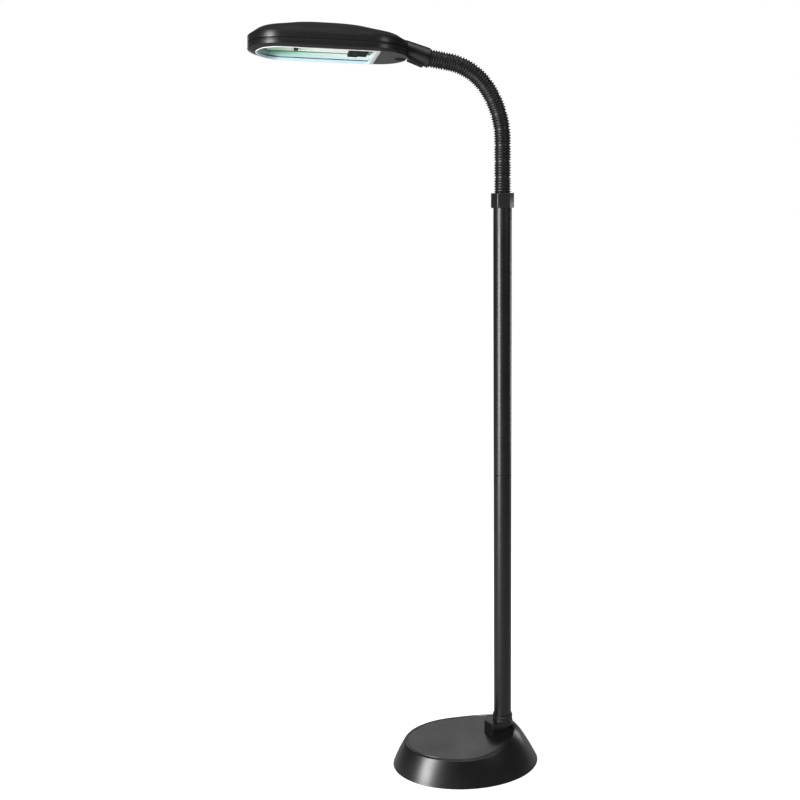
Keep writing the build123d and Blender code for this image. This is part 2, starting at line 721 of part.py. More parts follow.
def lens_outline(height, inset, rear_inset):
    """Draw the straight-sided lens outline at a height, drawn in at its sides, tip and rear."""
    half = LENS_WIDTH / 2 - inset
    tip_middle = LENS_LENGTH - LENS_TIP_RUN
    with BuildSketch(head.offset(height)) as outline:
        with BuildLine():
            Polyline((tip_middle, half), (rear_inset, half), (rear_inset, -half), (tip_middle, -half))
            EllipticalCenterArc((tip_middle, 0), LENS_TIP_RUN - inset, half, start_angle=-90, arc_size=180)
        make_face()
    return outline.sketch


def head_block(x, length, width, bottom, height, mode=Mode.ADD):
    """Extrude a block that starts at x along the head and is centred across it."""
    with BuildSketch(head.offset(bottom)) as block:
        with Locations((x + length / 2, 0)):
            Rectangle(length, width)
    extrude(block.sketch, amount=height, mode=mode)


def head_round(spots, radius, bottom, top, mode=Mode.ADD):
    """Extrude a round of one radius at each spot between two heights above the lens plane."""
    with BuildSketch(head.offset(bottom)) as rounds:
        with Locations(*spots):
            Circle(radius)
    extrude(rounds.sketch, amount=top - bottom, mode=mode)


def neck_round(radius, start, end, mode=Mode.ADD):
    """Extrude a round on the line of the flexible neck, between two distances past its end."""
    with BuildSketch(neck_end.offset(start)) as rounds:
        Circle(radius)
    extrude(rounds.sketch, amount=end - start, mode=mode)


crease = Plane(head.from_local_coords((-HEAD_REAR, 0, CREASE_HEIGHT)), x_dir=head.y_dir, z_dir=head.x_dir)
neck_along = (crease.origin - neck_end.origin).normalized()
neck_middle = Plane(neck_end.origin, x_dir=neck_along, z_dir=neck_along.cross(head.y_dir))
parting_along = (head.from_local_coords((-HEAD_REAR, 0, PARTING_HEIGHT)) - neck_end.origin).normalized()
neck_split = Plane(neck_end.origin, x_dir=parting_along, z_dir=parting_along.cross(head.y_dir))


def head_neck(is_lower):
    """Loft the neck of the head to the crease, add its lug or its fairing into the top, and bore it."""
    with BuildSketch(neck_end) as mouth:
        Circle(NECK_END_R)
    with BuildSketch(crease) as root:
        Ellipse(CREASE_WIDTH / 2, CREASE_DEPTH / 2)
    loft([mouth.sketch, root.sketch])
    if is_lower:
        with BuildSketch(neck_middle.offset(-LUG_DEPTH)) as lug:
            with Locations((LUG_SETBACK + LUG_LENGTH / 2, 0)):
                RectangleRounded(LUG_LENGTH, LUG_WIDTH, LUG_CORNER_R)
        extrude(lug.sketch, amount=LUG_DEPTH - NECK_END_R / 2)
    else:
        extrude(root.sketch, amount=FAIRING_LENGTH)
    neck_round(RIB_CREST_R + ASSEMBLY_GAP, 0, SLEEVE_TUCK + ASSEMBLY_GAP, Mode.SUBTRACT)
    neck_round(SPIGOT_BORE_R, 0, SPIGOT_LENGTH + ASSEMBLY_GAP, Mode.SUBTRACT)


def lead_hole():
    """Bore the way for the leads from the neck into the head."""
    with BuildSketch(crease) as hole:
        Circle(LEAD_HOLE_R)
    extrude(hole.sketch, amount=2 * HEAD_WALL, mode=Mode.SUBTRACT)
    extrude(hole.sketch, amount=-(crease.origin - neck_end.origin).length / 2, mode=Mode.SUBTRACT)


def clamp_round(radius, top, bottom, mode=Mode.ADD):
    """Extrude a round on the clamp screw's axis, between two depths under the spigot's centreline."""
    with BuildSketch(clamp_plane.offset(-bottom)) as rounds:
        Circle(radius)
    extrude(rounds.sketch, amount=bottom - top, mode=mode)


clamp_start = SPIGOT_LENGTH - CLAMP_LENGTH
clamp_middle = neck_end.offset(SPIGOT_LENGTH - CLAMP_LENGTH / 2).origin
clamp_plane = Plane(clamp_middle, x_dir=neck_end.z_dir, z_dir=neck_end.z_dir.cross(neck_end.x_dir))
screw_head_top = SPIGOT_BORE_R + CLAMP_SCREW_SEAT
screw_y = HEAD_WIDTH / 2 - HEAD_WALL - HEAD_POST_R + HEAD_POST_SINK
screw_spots = [(x, side * screw_y) for x in HEAD_SCREW_XS for side in (1, -1)]
screw_end = HEAD_SCREW_SEAT + HEAD_SCREW_LENGTH
band_top = SHOULDER_HEIGHT - HEAD_WALL
rim_top = RIM_HEIGHT + HEAD_WALL

with BuildPart() as head_top_shell:
    head_neck(is_lower=False)
    split(bisect_by=neck_split, keep=Keep.TOP)
    extrude(band_outline(PARTING_HEIGHT), amount=SHOULDER_HEIGHT - PARTING_HEIGHT)
    facet_edge = facet_outline(FACET_HEIGHT)
    loft([band_outline(SHOULDER_HEIGHT, BAND_GROOVE), facet_edge], ruled=True)
    loft([facet_edge, crown_outline(CROWN_HEIGHT)], ruled=True)
    extrude(band_outline(PARTING_HEIGHT, HEAD_WALL), amount=band_top - PARTING_HEIGHT, mode=Mode.SUBTRACT)
    inner_edge = facet_outline(FACET_HEIGHT - HEAD_WALL, HEAD_WALL)
    loft([band_outline(band_top, HEAD_WALL), inner_edge], ruled=True, mode=Mode.SUBTRACT)
    loft([inner_edge, crown_outline(CROWN_HEIGHT - HEAD_WALL)], ruled=True, mode=Mode.SUBTRACT)
    head_round(screw_spots, HEAD_POST_R, PARTING_HEIGHT, SHOULDER_HEIGHT)
    head_round(screw_spots, HEAD_SCREW_R + RUNNING_FIT, PARTING_HEIGHT, screw_end, Mode.SUBTRACT)
    lead_hole()
keep(head_top_shell, "head_top_shell")

with BuildPart() as head_lower_shell:
    head_neck(is_lower=True)
    split(bisect_by=neck_split, keep=Keep.BOTTOM)
    loft([rim_outline(0), band_outline(RIM_HEIGHT)], ruled=True)
    extrude(band_outline(RIM_HEIGHT), amount=PARTING_HEIGHT - RIM_HEIGHT)
    inner_band = band_outline(rim_top, HEAD_WALL)
    loft([rim_outline(HEAD_WALL, HEAD_WALL), inner_band], ruled=True, mode=Mode.SUBTRACT)
    extrude(inner_band, amount=PARTING_HEIGHT - rim_top, mode=Mode.SUBTRACT)
    head_round(screw_spots, HEAD_POST_R, RIM_HEIGHT, PARTING_HEIGHT)
    head_round(screw_spots, HEAD_SCREW_R + RUNNING_FIT, 0, PARTING_HEIGHT, Mode.SUBTRACT)
    head_round(screw_spots, HEAD_SCREW_HEAD_R + ASSEMBLY_GAP, 0, HEAD_SCREW_SEAT, Mode.SUBTRACT)
    extrude(lens_outline(0, 0, 0), amount=HEAD_WALL, mode=Mode.SUBTRACT)
    cutout_x = SWITCH_X - SWITCH_BODY_LENGTH / 2 - ASSEMBLY_GAP
    cutout_length = SWITCH_BODY_LENGTH + 2 * ASSEMBLY_GAP
    head_block(cutout_x, cutout_length, SWITCH_BODY_WIDTH + 2 * ASSEMBLY_GAP, 0, HEAD_WALL, Mode.SUBTRACT)
    clamp_round(CLAMP_SCREW_R + RUNNING_FIT, 0, screw_head_top, Mode.SUBTRACT)
    clamp_round(CLAMP_SCREW_HEAD_R + ASSEMBLY_GAP, screw_head_top, LUG_DEPTH, Mode.SUBTRACT)
keep(head_lower_shell, "head_lower_shell")

with BuildPart() as head_screws:
    head_round(screw_spots, HEAD_SCREW_HEAD_R, HEAD_SCREW_SEAT - HEAD_SCREW_HEAD, HEAD_SCREW_SEAT)
    head_round(screw_spots, HEAD_SCREW_R, HEAD_SCREW_SEAT, screw_end)
keep(head_screws, "head_screws")

with BuildPart() as neck_clamp:
    neck_round(SPIGOT_BORE_R - ASSEMBLY_GAP, clamp_start, SPIGOT_LENGTH)
    neck_round(BALL_R + RUNNING_FIT, clamp_start, SPIGOT_LENGTH, Mode.SUBTRACT)
    clamp_round(CLAMP_SCREW_R + RUNNING_FIT, 0, screw_head_top, Mode.SUBTRACT)
keep(neck_clamp, "neck_clamp")

with BuildPart() as clamp_screw:
    clamp_round(CLAMP_SCREW_R, BALL_R + RUNNING_FIT, screw_head_top)
    clamp_round(CLAMP_SCREW_HEAD_R, screw_head_top, screw_head_top + CLAMP_SCREW_HEAD)
keep(clamp_screw, "clamp_screw")

# Lens, frame and reflector stand on each other in the opening of the lower shell
flange_top = HEAD_WALL + FRAME_FLANGE_THICKNESS
lens_top = flange_top + LENS_THICKNESS
reflector_top = lens_top + REFLECTOR_HEIGHT
roof_height = reflector_top - REFLECTOR_WALL

with BuildPart() as lens_frame:
    extrude(lens_outline(-FRAME_PROUD, ASSEMBLY_GAP, ASSEMBLY_GAP), amount=FRAME_PROUD + HEAD_WALL)
    extrude(lens_outline(HEAD_WALL, -FRAME_FLANGE, -FRAME_FLANGE), amount=FRAME_FLANGE_THICKNESS)
    window = lens_outline(-FRAME_PROUD, FRAME_LIP, FRAME_REAR_LIP)
    extrude(window, amount=FRAME_PROUD + flange_top, mode=Mode.SUBTRACT)
keep(lens_frame, "lens_frame")

with BuildPart() as lens:
    extrude(lens_outline(flange_top, -LENS_OVERLAP, -LENS_OVERLAP), amount=LENS_THICKNESS)
keep(lens, "lens")

with BuildPart() as reflector:
    outer_rim = lens_outline(lens_top, -LENS_OVERLAP, -LENS_OVERLAP)
    outer_roof = lens_outline(reflector_top, REFLECTOR_SLOPE, REFLECTOR_SLOPE)
    loft([outer_rim, outer_roof], ruled=True)
    inner_inset = REFLECTOR_WALL - LENS_OVERLAP
    inner_rim = lens_outline(lens_top, inner_inset, inner_inset)
    inner_roof = lens_outline(roof_height, REFLECTOR_SLOPE + REFLECTOR_WALL, REFLECTOR_SLOPE + REFLECTOR_WALL)
    loft([inner_rim, inner_roof], ruled=True, mode=Mode.SUBTRACT)
keep(reflector, "reflector")

# Lamp
lamp_base_x = HOLDER_X + HOLDER_LENGTH
tube_start = lamp_base_x + LAMP_BASE_LENGTH
bend_start = LAMP_TIP - TUBE_R - TUBE_PITCH / 2
lamp_base_bottom = TUBE_LIFT - LAMP_BASE_HEIGHT / 2

with BuildPart() as lamp_tubes:
    for side in (1, -1):
        inner_y = side * TUBE_PITCH / 2
        outer_y = side * TUBE_PITCH * 3 / 2
        with BuildLine(head.offset(TUBE_LIFT)):
            Line((tube_start, outer_y), (bend_start, outer_y))
            ThreePointArc(
                (bend_start, outer_y), (bend_start + TUBE_PITCH / 2, side * TUBE_PITCH), (bend_start, inner_y)
            )
            Line((bend_start, inner_y), (tube_start, inner_y))
        tube_mouth = head.from_local_coords((tube_start, outer_y, TUBE_LIFT))
        with BuildSketch(Plane(tube_mouth, x_dir=head.y_dir, z_dir=head.x_dir)):
            Circle(TUBE_R)
        sweep()
    bridge_foot = head.from_local_coords((tube_start + TUBE_BRIDGE_AHEAD, 0, TUBE_LIFT))
    with BuildSketch(Plane(bridge_foot, x_dir=head.x_dir, z_dir=head.y_dir)):
        Circle(TUBE_BRIDGE_R)
    extrude(amount=TUBE_PITCH / 2, both=True)
keep(lamp_tubes, "lamp_tubes")

with BuildPart() as lamp_base:
    head_block(lamp_base_x, LAMP_BASE_LENGTH, LAMP_BASE_WIDTH, lamp_base_bottom, LAMP_BASE_HEIGHT)
keep(lamp_base, "lamp_base")

with BuildPart() as lamp_holder:
    head_block(HOLDER_X, HOLDER_LENGTH, HOLDER_WIDTH, lamp_base_bottom, roof_height - lamp_base_bottom)
keep(lamp_holder, "lamp_holder")

# The clip hangs from the reflector between the two inner limbs and holds them from below
clip_foot_top = TUBE_LIFT - TUBE_R - ASSEMBLY_GAP
with BuildPart() as tube_clip:
    head_block(CLIP_X, CLIP_LENGTH, CLIP_WALL, clip_foot_top, roof_height - clip_foot_top)
    head_block(CLIP_X, CLIP_LENGTH, CLIP_FOOT_WIDTH, clip_foot_top - CLIP_WALL, CLIP_WALL)
keep(tube_clip, "tube_clip")

# Ballast
board_bottom = reflector_top + BOARD_LIFT
board_top = board_bottom + BOARD_THICKNESS
pillar_x = BOARD_LENGTH / 2 - BOARD_PILLAR_INSET
pillar_y = BOARD_WIDTH / 2 - BOARD_PILLAR_INSET
board_middle = BOARD_X + BOARD_LENGTH / 2
pillar_spots = [(board_middle + sx * pillar_x, sy * pillar_y) for sx in (1, -1) for sy in (1, -1)]

with BuildPart() as ballast_board:
    head_block(BOARD_X, BOARD_LENGTH, BOARD_WIDTH, board_bottom, BOARD_THICKNESS)
    head_round(pillar_spots, BOARD_PILLAR_R, reflector_top, board_bottom)
keep(ballast_board, "ballast_board")

capacitor_x = BOARD_X + BOARD_LENGTH / 4
with BuildPart() as ballast_parts:
    head_block(board_middle, CHOKE_LENGTH, CHOKE_WIDTH, board_top, CHOKE_HEIGHT)
    capacitor_foot = head.from_local_coords((capacitor_x, -CAPACITOR_LENGTH / 2, board_top + CAPACITOR_R))
    with BuildSketch(Plane(capacitor_foot, x_dir=head.x_dir, z_dir=head.y_dir)):
        Circle(CAPACITOR_R)
    extrude(amount=CAPACITOR_LENGTH)
keep(ballast_parts, "ballast_parts")

# Rocker switch
rocker_pivot = head.from_local_coords((SWITCH_X, 0, ROCKER_PIVOT_HEIGHT))
tilt_cos, tilt_sin = cos(radians(ROCKER_TILT)), sin(radians(ROCKER_TILT))
rocker_face = Plane(rocker_pivot, x_dir=head.x_dir * tilt_cos - head.z_dir * tilt_sin, z_dir=-head.y_dir)
pocket_length = ROCKER_LENGTH * tilt_cos + 2 * (ROCKER_END_DEPTH * tilt_sin + ROCKER_GAP)
pocket_rise = ROCKER_RISE * tilt_cos + ROCKER_TOP_LENGTH / 2 * tilt_sin + ROCKER_GAP
pocket_top = ROCKER_PIVOT_HEIGHT + pocket_rise

with BuildPart() as switch_body:
    head_block(SWITCH_X - SWITCH_LENGTH / 2, SWITCH_LENGTH, SWITCH_WIDTH, -SWITCH_FLANGE, SWITCH_FLANGE)
    head_block(
        SWITCH_X - SWITCH_BODY_LENGTH / 2, SWITCH_BODY_LENGTH, SWITCH_BODY_WIDTH, 0, SWITCH_BODY_HEIGHT
    )
    head_block(
        SWITCH_X - pocket_length / 2,
        pocket_length,
        ROCKER_WIDTH + 2 * ROCKER_GAP,
        -SWITCH_FLANGE,
        SWITCH_FLANGE + pocket_top,
        Mode.SUBTRACT,
    )
    with BuildSketch(Plane(rocker_pivot, x_dir=head.x_dir, z_dir=head.y_dir)):
        Circle(ROCKER_PIN_R + RUNNING_FIT)
    extrude(amount=ROCKER_PIN_LENGTH / 2 + ASSEMBLY_GAP, both=True, mode=Mode.SUBTRACT)
keep(switch_body, "switch_body")

with BuildPart() as switch_rocker:
    with BuildSketch(rocker_face):
        with BuildLine():
            Polyline(
                (-ROCKER_TOP_LENGTH / 2, ROCKER_RISE),
                (ROCKER_TOP_LENGTH / 2, ROCKER_RISE),
                (ROCKER_LENGTH / 2, -ROCKER_END_DEPTH),
                (0, -ROCKER_MIDDLE_DEPTH),
                (-ROCKER_LENGTH / 2, -ROCKER_END_DEPTH),
                close=True,
            )
        make_face()
    extrude(amount=ROCKER_WIDTH / 2, both=True)
    with BuildSketch(rocker_face):
        Circle(ROCKER_PIN_R)
    extrude(amount=ROCKER_PIN_LENGTH / 2, both=True)
keep(switch_rocker, "switch_rocker")
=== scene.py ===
"""Task floor lamp: mesh detail, finishes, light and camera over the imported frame.

Sizes are millimetres in the lamp's own frame and become metres when a piece is finished.
The origin is on the floor under the pole, +X points to the toe of the base, +Z is up.
"""

from __future__ import annotations

import json
import logging
import math
from dataclasses import dataclass, field
from enum import Enum
from typing import Any, Sequence

import bmesh
import bpy
from mathutils import Matrix, Vector

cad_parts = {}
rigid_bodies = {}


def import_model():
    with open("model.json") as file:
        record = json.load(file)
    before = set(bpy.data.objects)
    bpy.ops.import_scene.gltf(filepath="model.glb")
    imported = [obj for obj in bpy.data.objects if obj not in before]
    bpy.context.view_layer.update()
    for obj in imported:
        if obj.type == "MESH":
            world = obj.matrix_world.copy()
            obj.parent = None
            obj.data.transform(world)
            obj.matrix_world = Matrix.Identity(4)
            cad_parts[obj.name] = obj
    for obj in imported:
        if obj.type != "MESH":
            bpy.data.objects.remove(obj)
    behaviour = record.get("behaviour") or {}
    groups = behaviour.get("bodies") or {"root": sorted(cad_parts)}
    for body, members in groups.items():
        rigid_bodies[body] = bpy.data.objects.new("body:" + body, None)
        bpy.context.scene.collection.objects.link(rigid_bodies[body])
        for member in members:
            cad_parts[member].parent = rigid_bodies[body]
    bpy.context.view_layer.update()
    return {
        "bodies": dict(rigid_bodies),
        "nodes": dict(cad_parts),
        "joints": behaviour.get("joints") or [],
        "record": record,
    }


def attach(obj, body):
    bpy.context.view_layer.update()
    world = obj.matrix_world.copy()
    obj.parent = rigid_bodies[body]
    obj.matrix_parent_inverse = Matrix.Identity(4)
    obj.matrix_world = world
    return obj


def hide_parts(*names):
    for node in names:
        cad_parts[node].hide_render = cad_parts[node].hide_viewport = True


LOG = logging.getLogger("floor_lamp")
MM = 0.001
# Vertices nearer than this are one, and faces that meet more sharply than this show an edge.
MERGE_GAP = 0.004
SHARP_ANGLE = math.radians(32.0)
# Faces meet at a corner past this angle, and an edge runs along an axis when its ends lie this far apart.
CORNER_ANGLE = 1.0
EDGE_RUN = 1.0
# Two places are the same within this.
SAME = 0.01
# A face looks along an axis when its normal leans this far that way.
FACING = 0.5
# Broad noise of every finish, the part of its range that moves the gloss, and the strength of the relief.
PATCH_DETAIL = 4.0
PATCH_SPAN = (0.3, 0.7)
RELIEF_STRENGTH = 0.6
# Metres above the head's floor over which a painted reflection loses its pale low-side tint, and how much
# of that tint shows.
LOW_SIDE = (0.006, 0.014)
LOW_SIDE_SHARE = (0.9, 0.0)
# Socket numbers of a Mix node that mixes colours.
MIX_SHARE, MIX_FIRST, MIX_SECOND, MIX_RESULT = 0, 6, 7, 2

Point = tuple[float, float]
Mesh = bmesh.types.BMesh
Vert = bmesh.types.BMVert
Edge = bmesh.types.BMEdge
Face = bmesh.types.BMFace
Tree = bpy.types.NodeTree
Node = bpy.types.Node
Output = bpy.types.NodeSocket


# Nodes and finishes
def linear(code: str) -> tuple[float, float, float, float]:
    """Turn an sRGB hex colour into linear red, green, blue and alpha.

    Args:
        code: Six hex digits with a leading hash.

    Returns:
        The colour as Blender's sockets take it.
    """
    shares = [int(code[i : i + 2], 16) / 255 for i in (1, 3, 5)]
    red, green, blue = (s / 12.92 if s <= 0.04045 else ((s + 0.055) / 1.055) ** 2.4 for s in shares)
    return red, green, blue, 1.0


def per_metre(size: float) -> float:
    """Texture scale that makes one feature as large as a size in millimetres."""
    return 1.0 / (size * MM)


def add_node(tree: Tree, kind: str, links: dict[str | int, Any] | None = None, **settings: Any) -> Node:
    """Add one node with its settings, its socket values and its links.

    Args:
        tree: The node tree that takes the node.
        kind: Blender's type name of the node.
        links: Socket name or number to a value, or to an output socket to link from.
        settings: Properties of the node itself.

    Returns:
        The new node.
    """
    node = tree.nodes.new(kind)
    for name, value in settings.items():
        setattr(node, name, value)
    for socket, value in (links or {}).items():
        if isinstance(value, Output):
            tree.links.new(value, node.inputs[socket])
        else:
            node.inputs[socket].default_value = value
    return node


def mix_colours(tree: Tree, share: Any, first: Any, second: Any) -> Output:
    """Mix two colours by the share of the second. Each of the three is a value or a socket."""
    links = {MIX_SHARE: share, MIX_FIRST: first, MIX_SECOND: second}
    return add_node(tree, "ShaderNodeMix", links, data_type="RGBA").outputs[MIX_RESULT]


def map_range(tree: Tree, value: Output, span: Point, result: Point) -> Output:
    """Bring a value from a span to the span that results."""
    ends = {"From Min": span[0], "From Max": span[1], "To Min": result[0], "To Max": result[1]}
    return add_node(tree, "ShaderNodeMapRange", {"Value": value, **ends}).outputs["Result"]


class Texture(Enum):
    """What the making of a surface leaves on it."""

    SPARK_GRAIN = "ShaderNodeTexNoise"
    ORANGE_PEEL = "ShaderNodeTexVoronoi"


@dataclass(frozen=True)
class Finish:
    """One real material: its colours, its gloss and the texture that its making leaves."""

    name: str
    slot: str
    colour: str
    shade: str
    roughness: Point
    grain: float
    bump: float
    patch: float = 70.0
    texture: Texture = Texture.SPARK_GRAIN
    metallic: float = 0.0
    ior: float = 1.5
    alpha: float = 1.0
    glow: float = 0.0
    # Colours of a painted reflection, running from the rear of the head to its tip.
    reflection_fade: tuple[str, ...] = ()

    def material(self) -> bpy.types.Material:
        """Build the material once and give it again on later calls.

        Returns:
            The material.
        """
        found = bpy.data.materials.get(self.name)
        if found:
            return found
        made = bpy.data.materials.new(self.name)
        made.use_nodes = True
        self._wire(made.node_tree)
        return made

    def _wire(self, tree: Tree) -> None:
        """Fill the node tree: patches of tone and gloss, and grain in the relief.

        Args:
            tree: The material's nodes.
        """
        shader = tree.nodes["Principled BSDF"]
        place = add_node(tree, "ShaderNodeTexCoord").outputs["Object"]
        broad = {"Vector": place, "Scale": per_metre(self.patch), "Detail": PATCH_DETAIL}
        patch = add_node(tree, "ShaderNodeTexNoise", broad).outputs["Fac"]
        grain = add_node(tree, self.texture.value, {"Vector": place, "Scale": per_metre(self.grain)})
        height = grain.outputs["Distance" if self.texture is Texture.ORANGE_PEEL else "Fac"]
        relief = {"Height": height, "Strength": RELIEF_STRENGTH, "Distance": self.bump * MM}
        normal = add_node(tree, "ShaderNodeBump", relief).outputs["Normal"]
        tone = self._tone(tree, place, patch)
        tree.links.new(tone, shader.inputs["Base Color"])
        tree.links.new(map_range(tree, patch, PATCH_SPAN, self.roughness), shader.inputs["Roughness"])
        tree.links.new(normal, shader.inputs["Normal"])
        shader.inputs["Metallic"].default_value = self.metallic
        shader.inputs["IOR"].default_value = self.ior
        shader.inputs["Alpha"].default_value = self.alpha
        # Glow: painted glow on the lens edge, and the even brightness of the floor.
        if self.glow:
            tree.links.new(tone, shader.inputs["Emission Color"])
            shader.inputs["Emission Strength"].default_value = self.glow

    def _tone(self, tree: Tree, place: Output, share: Output) -> Output:
        """Mix the two tones of the finish, or run its painted reflection from the rear of the head to its
        tip.

        Args:
            tree: The material's nodes.
            place: Object coordinates.
            share: Broad noise that parts the two tones.

        Returns:
            The colour socket.
        """
        low, high = linear(self.colour), linear(self.shade)
        if not self.reflection_fade:
            return mix_colours(tree, share, low, high)
        origin = HEAD.axes.origin * MM
        local = add_node(tree, "ShaderNodeVectorMath", {0: place, 1: origin}, operation="SUBTRACT")
        along, above = (
            add_node(tree, "ShaderNodeVectorMath", {0: local.outputs[0], 1: axis}, operation="DOT_PRODUCT")
            for axis in (HEAD.axes.x, HEAD.axes.z)
        )
        # Painted reflection: a ramp of colours from the rear of the head to the tip, with the pale second
        # tone mixed in low down.
        run = map_range(tree, along.outputs["Value"], (0.0, LENS.length * MM), (0.0, 1.0))
        low_side = map_range(tree, above.outputs["Value"], LOW_SIDE, LOW_SIDE_SHARE)
        ramp = add_node(tree, "ShaderNodeValToRGB", {"Fac": run})
        stops = ramp.color_ramp.elements
        for number, code in enumerate(self.reflection_fade):
            spot = number / (len(self.reflection_fade) - 1)
            # A new ramp has two stops.
            stop = stops[number] if number in (0, 1) else stops.new(spot)
            stop.position = spot
            stop.color = linear(code)
        return mix_colours(tree, low_side, ramp.outputs["Color"], high)


# Satin ABS from a spark-eroded mould: black, a soft wide highlight and a fine even grain.
# The grain is drawn about three times as coarse as the real one so that it shows.
BASE_ABS = Finish("satin_abs_base", "base_plastic", "#0b0b0c", "#101012", (0.26, 0.33), 1.4, 0.05)
HEAD_ABS = Finish("satin_abs_head", "head_plastic", "#0a0a0b", "#0f0f11", (0.30, 0.40), 1.3, 0.05)
COLLAR_ABS = Finish("satin_abs_collar", "collar_plastic", "#0b0b0c", "#121214", (0.34, 0.44), 1.3, 0.05)
# The underside panel is the same ABS, painted paler for the floor that it reflects, with a duller moulded
# texture.
PANEL_ABS_PAINTED_REFLECTION = Finish("matt_abs_panel_painted_reflection", "head_plastic", "#39393a", "#434344", (0.45, 0.55), 1.3, 0.08)
# Semi-gloss powder coat on steel tube: black with a faint orange peel in its highlight.
POWDER_COAT = Finish(
    "black_powder_coat",
    "pole_coat",
    "#0a0a0b",
    "#0e0e0f",
    (0.30, 0.36),
    2.6,
    0.05,
    texture=Texture.ORANGE_PEEL,
)
# Soft PVC sleeve, moulded in ribs: black, duller than the ABS, bright only along its crests.
SLEEVE_PVC = Finish("ribbed_pvc_sleeve", "sleeve_vinyl", "#0a0a0a", "#111112", (0.38, 0.48), 1.2, 0.04)
# Zinc links as cast: mid grey and softly bright.
CORE_ZINC = Finish(
    "zinc_die_cast_links", "core_metal", "#8b8d90", "#74767a", (0.35, 0.5), 1.5, 0.03, metallic=1.0
)
# Grey iron as cast: dark, coarse and dull.
CAST_IRON = Finish("cast_iron", "weight_iron", "#2f3032", "#3c3b39", (0.6, 0.75), 2.4, 0.3, metallic=0.8)
# Zinc-plated sheet and fasteners: pale grey and bright, the fasteners a little more so.
ZINC_PLATE = Finish(
    "zinc_plated_sheet", "plate_steel", "#a4a7aa", "#8d9093", (0.3, 0.45), 6.0, 0.02, metallic=1.0
)
ZINC_SCREW = Finish(
    "zinc_plated_steel", "fastener_steel", "#aeb0b2", "#93969a", (0.25, 0.4), 1.5, 0.02, metallic=1.0
)
# Matt rubber: dull black without a clear highlight.
RUBBER = Finish("matt_rubber", "foot_rubber", "#131313", "#1b1b1b", (0.75, 0.9), 1.2, 0.06)
# PVC flex and moulded nylon: black with a soft sheen, the nylon a little greyer.
FLEX_PVC = Finish("pvc_flex", "flex_vinyl", "#101010", "#161616", (0.4, 0.5), 1.2, 0.03)
NYLON = Finish("black_nylon", "plug_nylon", "#151516", "#1c1c1e", (0.45, 0.6), 1.4, 0.04)
# Bright white ABS frame round the lens.
WHITE_ABS = Finish("white_abs", "frame_white", "#d9dbd9", "#d0d2d0", (0.5, 0.58), 1.3, 0.03, ior=1.35)
# Clear acrylic: most light goes through, the rest is a clean reflection.
ACRYLIC = Finish(
    "clear_acrylic", "lens_clear", "#5f8f7c", "#6f9d8b", (0.04, 0.08), 30.0, 0.01, ior=1.49, alpha=0.04
)
# The polished edge of the lens shows as a pale blue line, painted on the frame's inner wall as a pale blue
# colour with a painted glow.
LENS_EDGE_GLOW = Finish(
    "lens_edge_painted_glow", "frame_white", "#b9d6de", "#c4dee5", (0.4, 0.5), 20.0, 0.01, ior=1.3, glow=0.14
)
# White enamelled tray with a painted reflection, seen through the edge of the lens: green towards the tip,
# pale blue low down.
ENAMEL = Finish(
    "white_enamel_tray",
    "reflector_white",
    "#ffffff",
    "#cfe6f2",
    (0.5, 0.58),
    8.0,
    0.02,
    ior=1.35,
    reflection_fade=("#f2f9f6", "#e6f4ed", "#d8eee3", "#a9dcc2", "#4f9f77", "#4a9a72"),
)
# Phosphor-coated glass limbs: milky white and smooth, with the same painted green reflection towards the
# tip.
PHOSPHOR = Finish(
    "phosphor_glass",
    "tube_phosphor",
    "#f6f8f4",
    "#eef2ec",
    (0.5, 0.6),
    12.0,
    0.01,
    ior=1.3,
    reflection_fade=("#f4f6f4", "#f1f5f2", "#e9f2ec", "#cfe6da", "#4c8d6c", "#5aa07c"),
)
# Moulded PBT: dead black, so that the socket reads as a dark block behind the lens.
PBT_BLACK = Finish("black_pbt", "holder_black", "#0d0d0e", "#141416", (0.7, 0.8), 1.4, 0.04, ior=1.3)
# Glass epoxy board: green and half glossy.
BOARD = Finish("glass_epoxy_board", "board_green", "#1f5a3a", "#27684a", (0.35, 0.5), 2.0, 0.04)
# Dark epoxy: near black with a bluish cast.
POTTING = Finish("dark_epoxy", "ballast_dark", "#1b1b20", "#26262b", (0.3, 0.45), 1.6, 0.03)
# Polycarbonate: plain black, darker than the panel round it.
SWITCH_PC = Finish(
    "black_polycarbonate", "switch_black", "#0b0b0c", "#131315", (0.45, 0.55), 1.2, 0.02, ior=1.4
)


# Outlines
def turns(count: int) -> list[float]:
    """Angles of a full turn in equal steps."""
    return [math.tau * number / count for number in range(count)]


def line(first: Point, last: Point, count: int) -> list[Point]:
    """Points along a straight stretch of an outline, its last one left to the next stretch."""
    along, across = last[0] - first[0], last[1] - first[1]
    return [(first[0] + along * n / count, first[1] + across * n / count) for n in range(count)]


def arc(middle: Point, radii: Point, start: float, end: float, count: int) -> list[Point]:
    """Points of an ellipse between two angles, the last one left to the next stretch."""
    angles = [start + (end - start) * number / count for number in range(count)]
    return [(middle[0] + radii[0] * math.cos(a), middle[1] + radii[1] * math.sin(a)) for a in angles]


# Mesh work
def ring_edges(verts: Sequence[Vert]) -> list[Edge]:
    """Edges between the vertices of a closed ring, in order."""
    pairs = zip(verts, list(verts[1:]) + [verts[0]])
    return [edge for a, b in pairs for edge in a.link_edges if edge.other_vert(a) is b]


def start_ring(bm: Mesh, points: Sequence[Vector]) -> list[Vert]:
    """Start from a circle and set its vertices on the points of a ring.

    Args:
        bm: The mesh that is being made.
        points: The ring's points.

    Returns:
        The ring's vertices, in the same order.
    """
    verts = list(bmesh.ops.create_circle(bm, cap_ends=False, segments=len(points), radius=1.0)["verts"])
    for vert, point in zip(verts, points):
        vert.co = point
    return verts


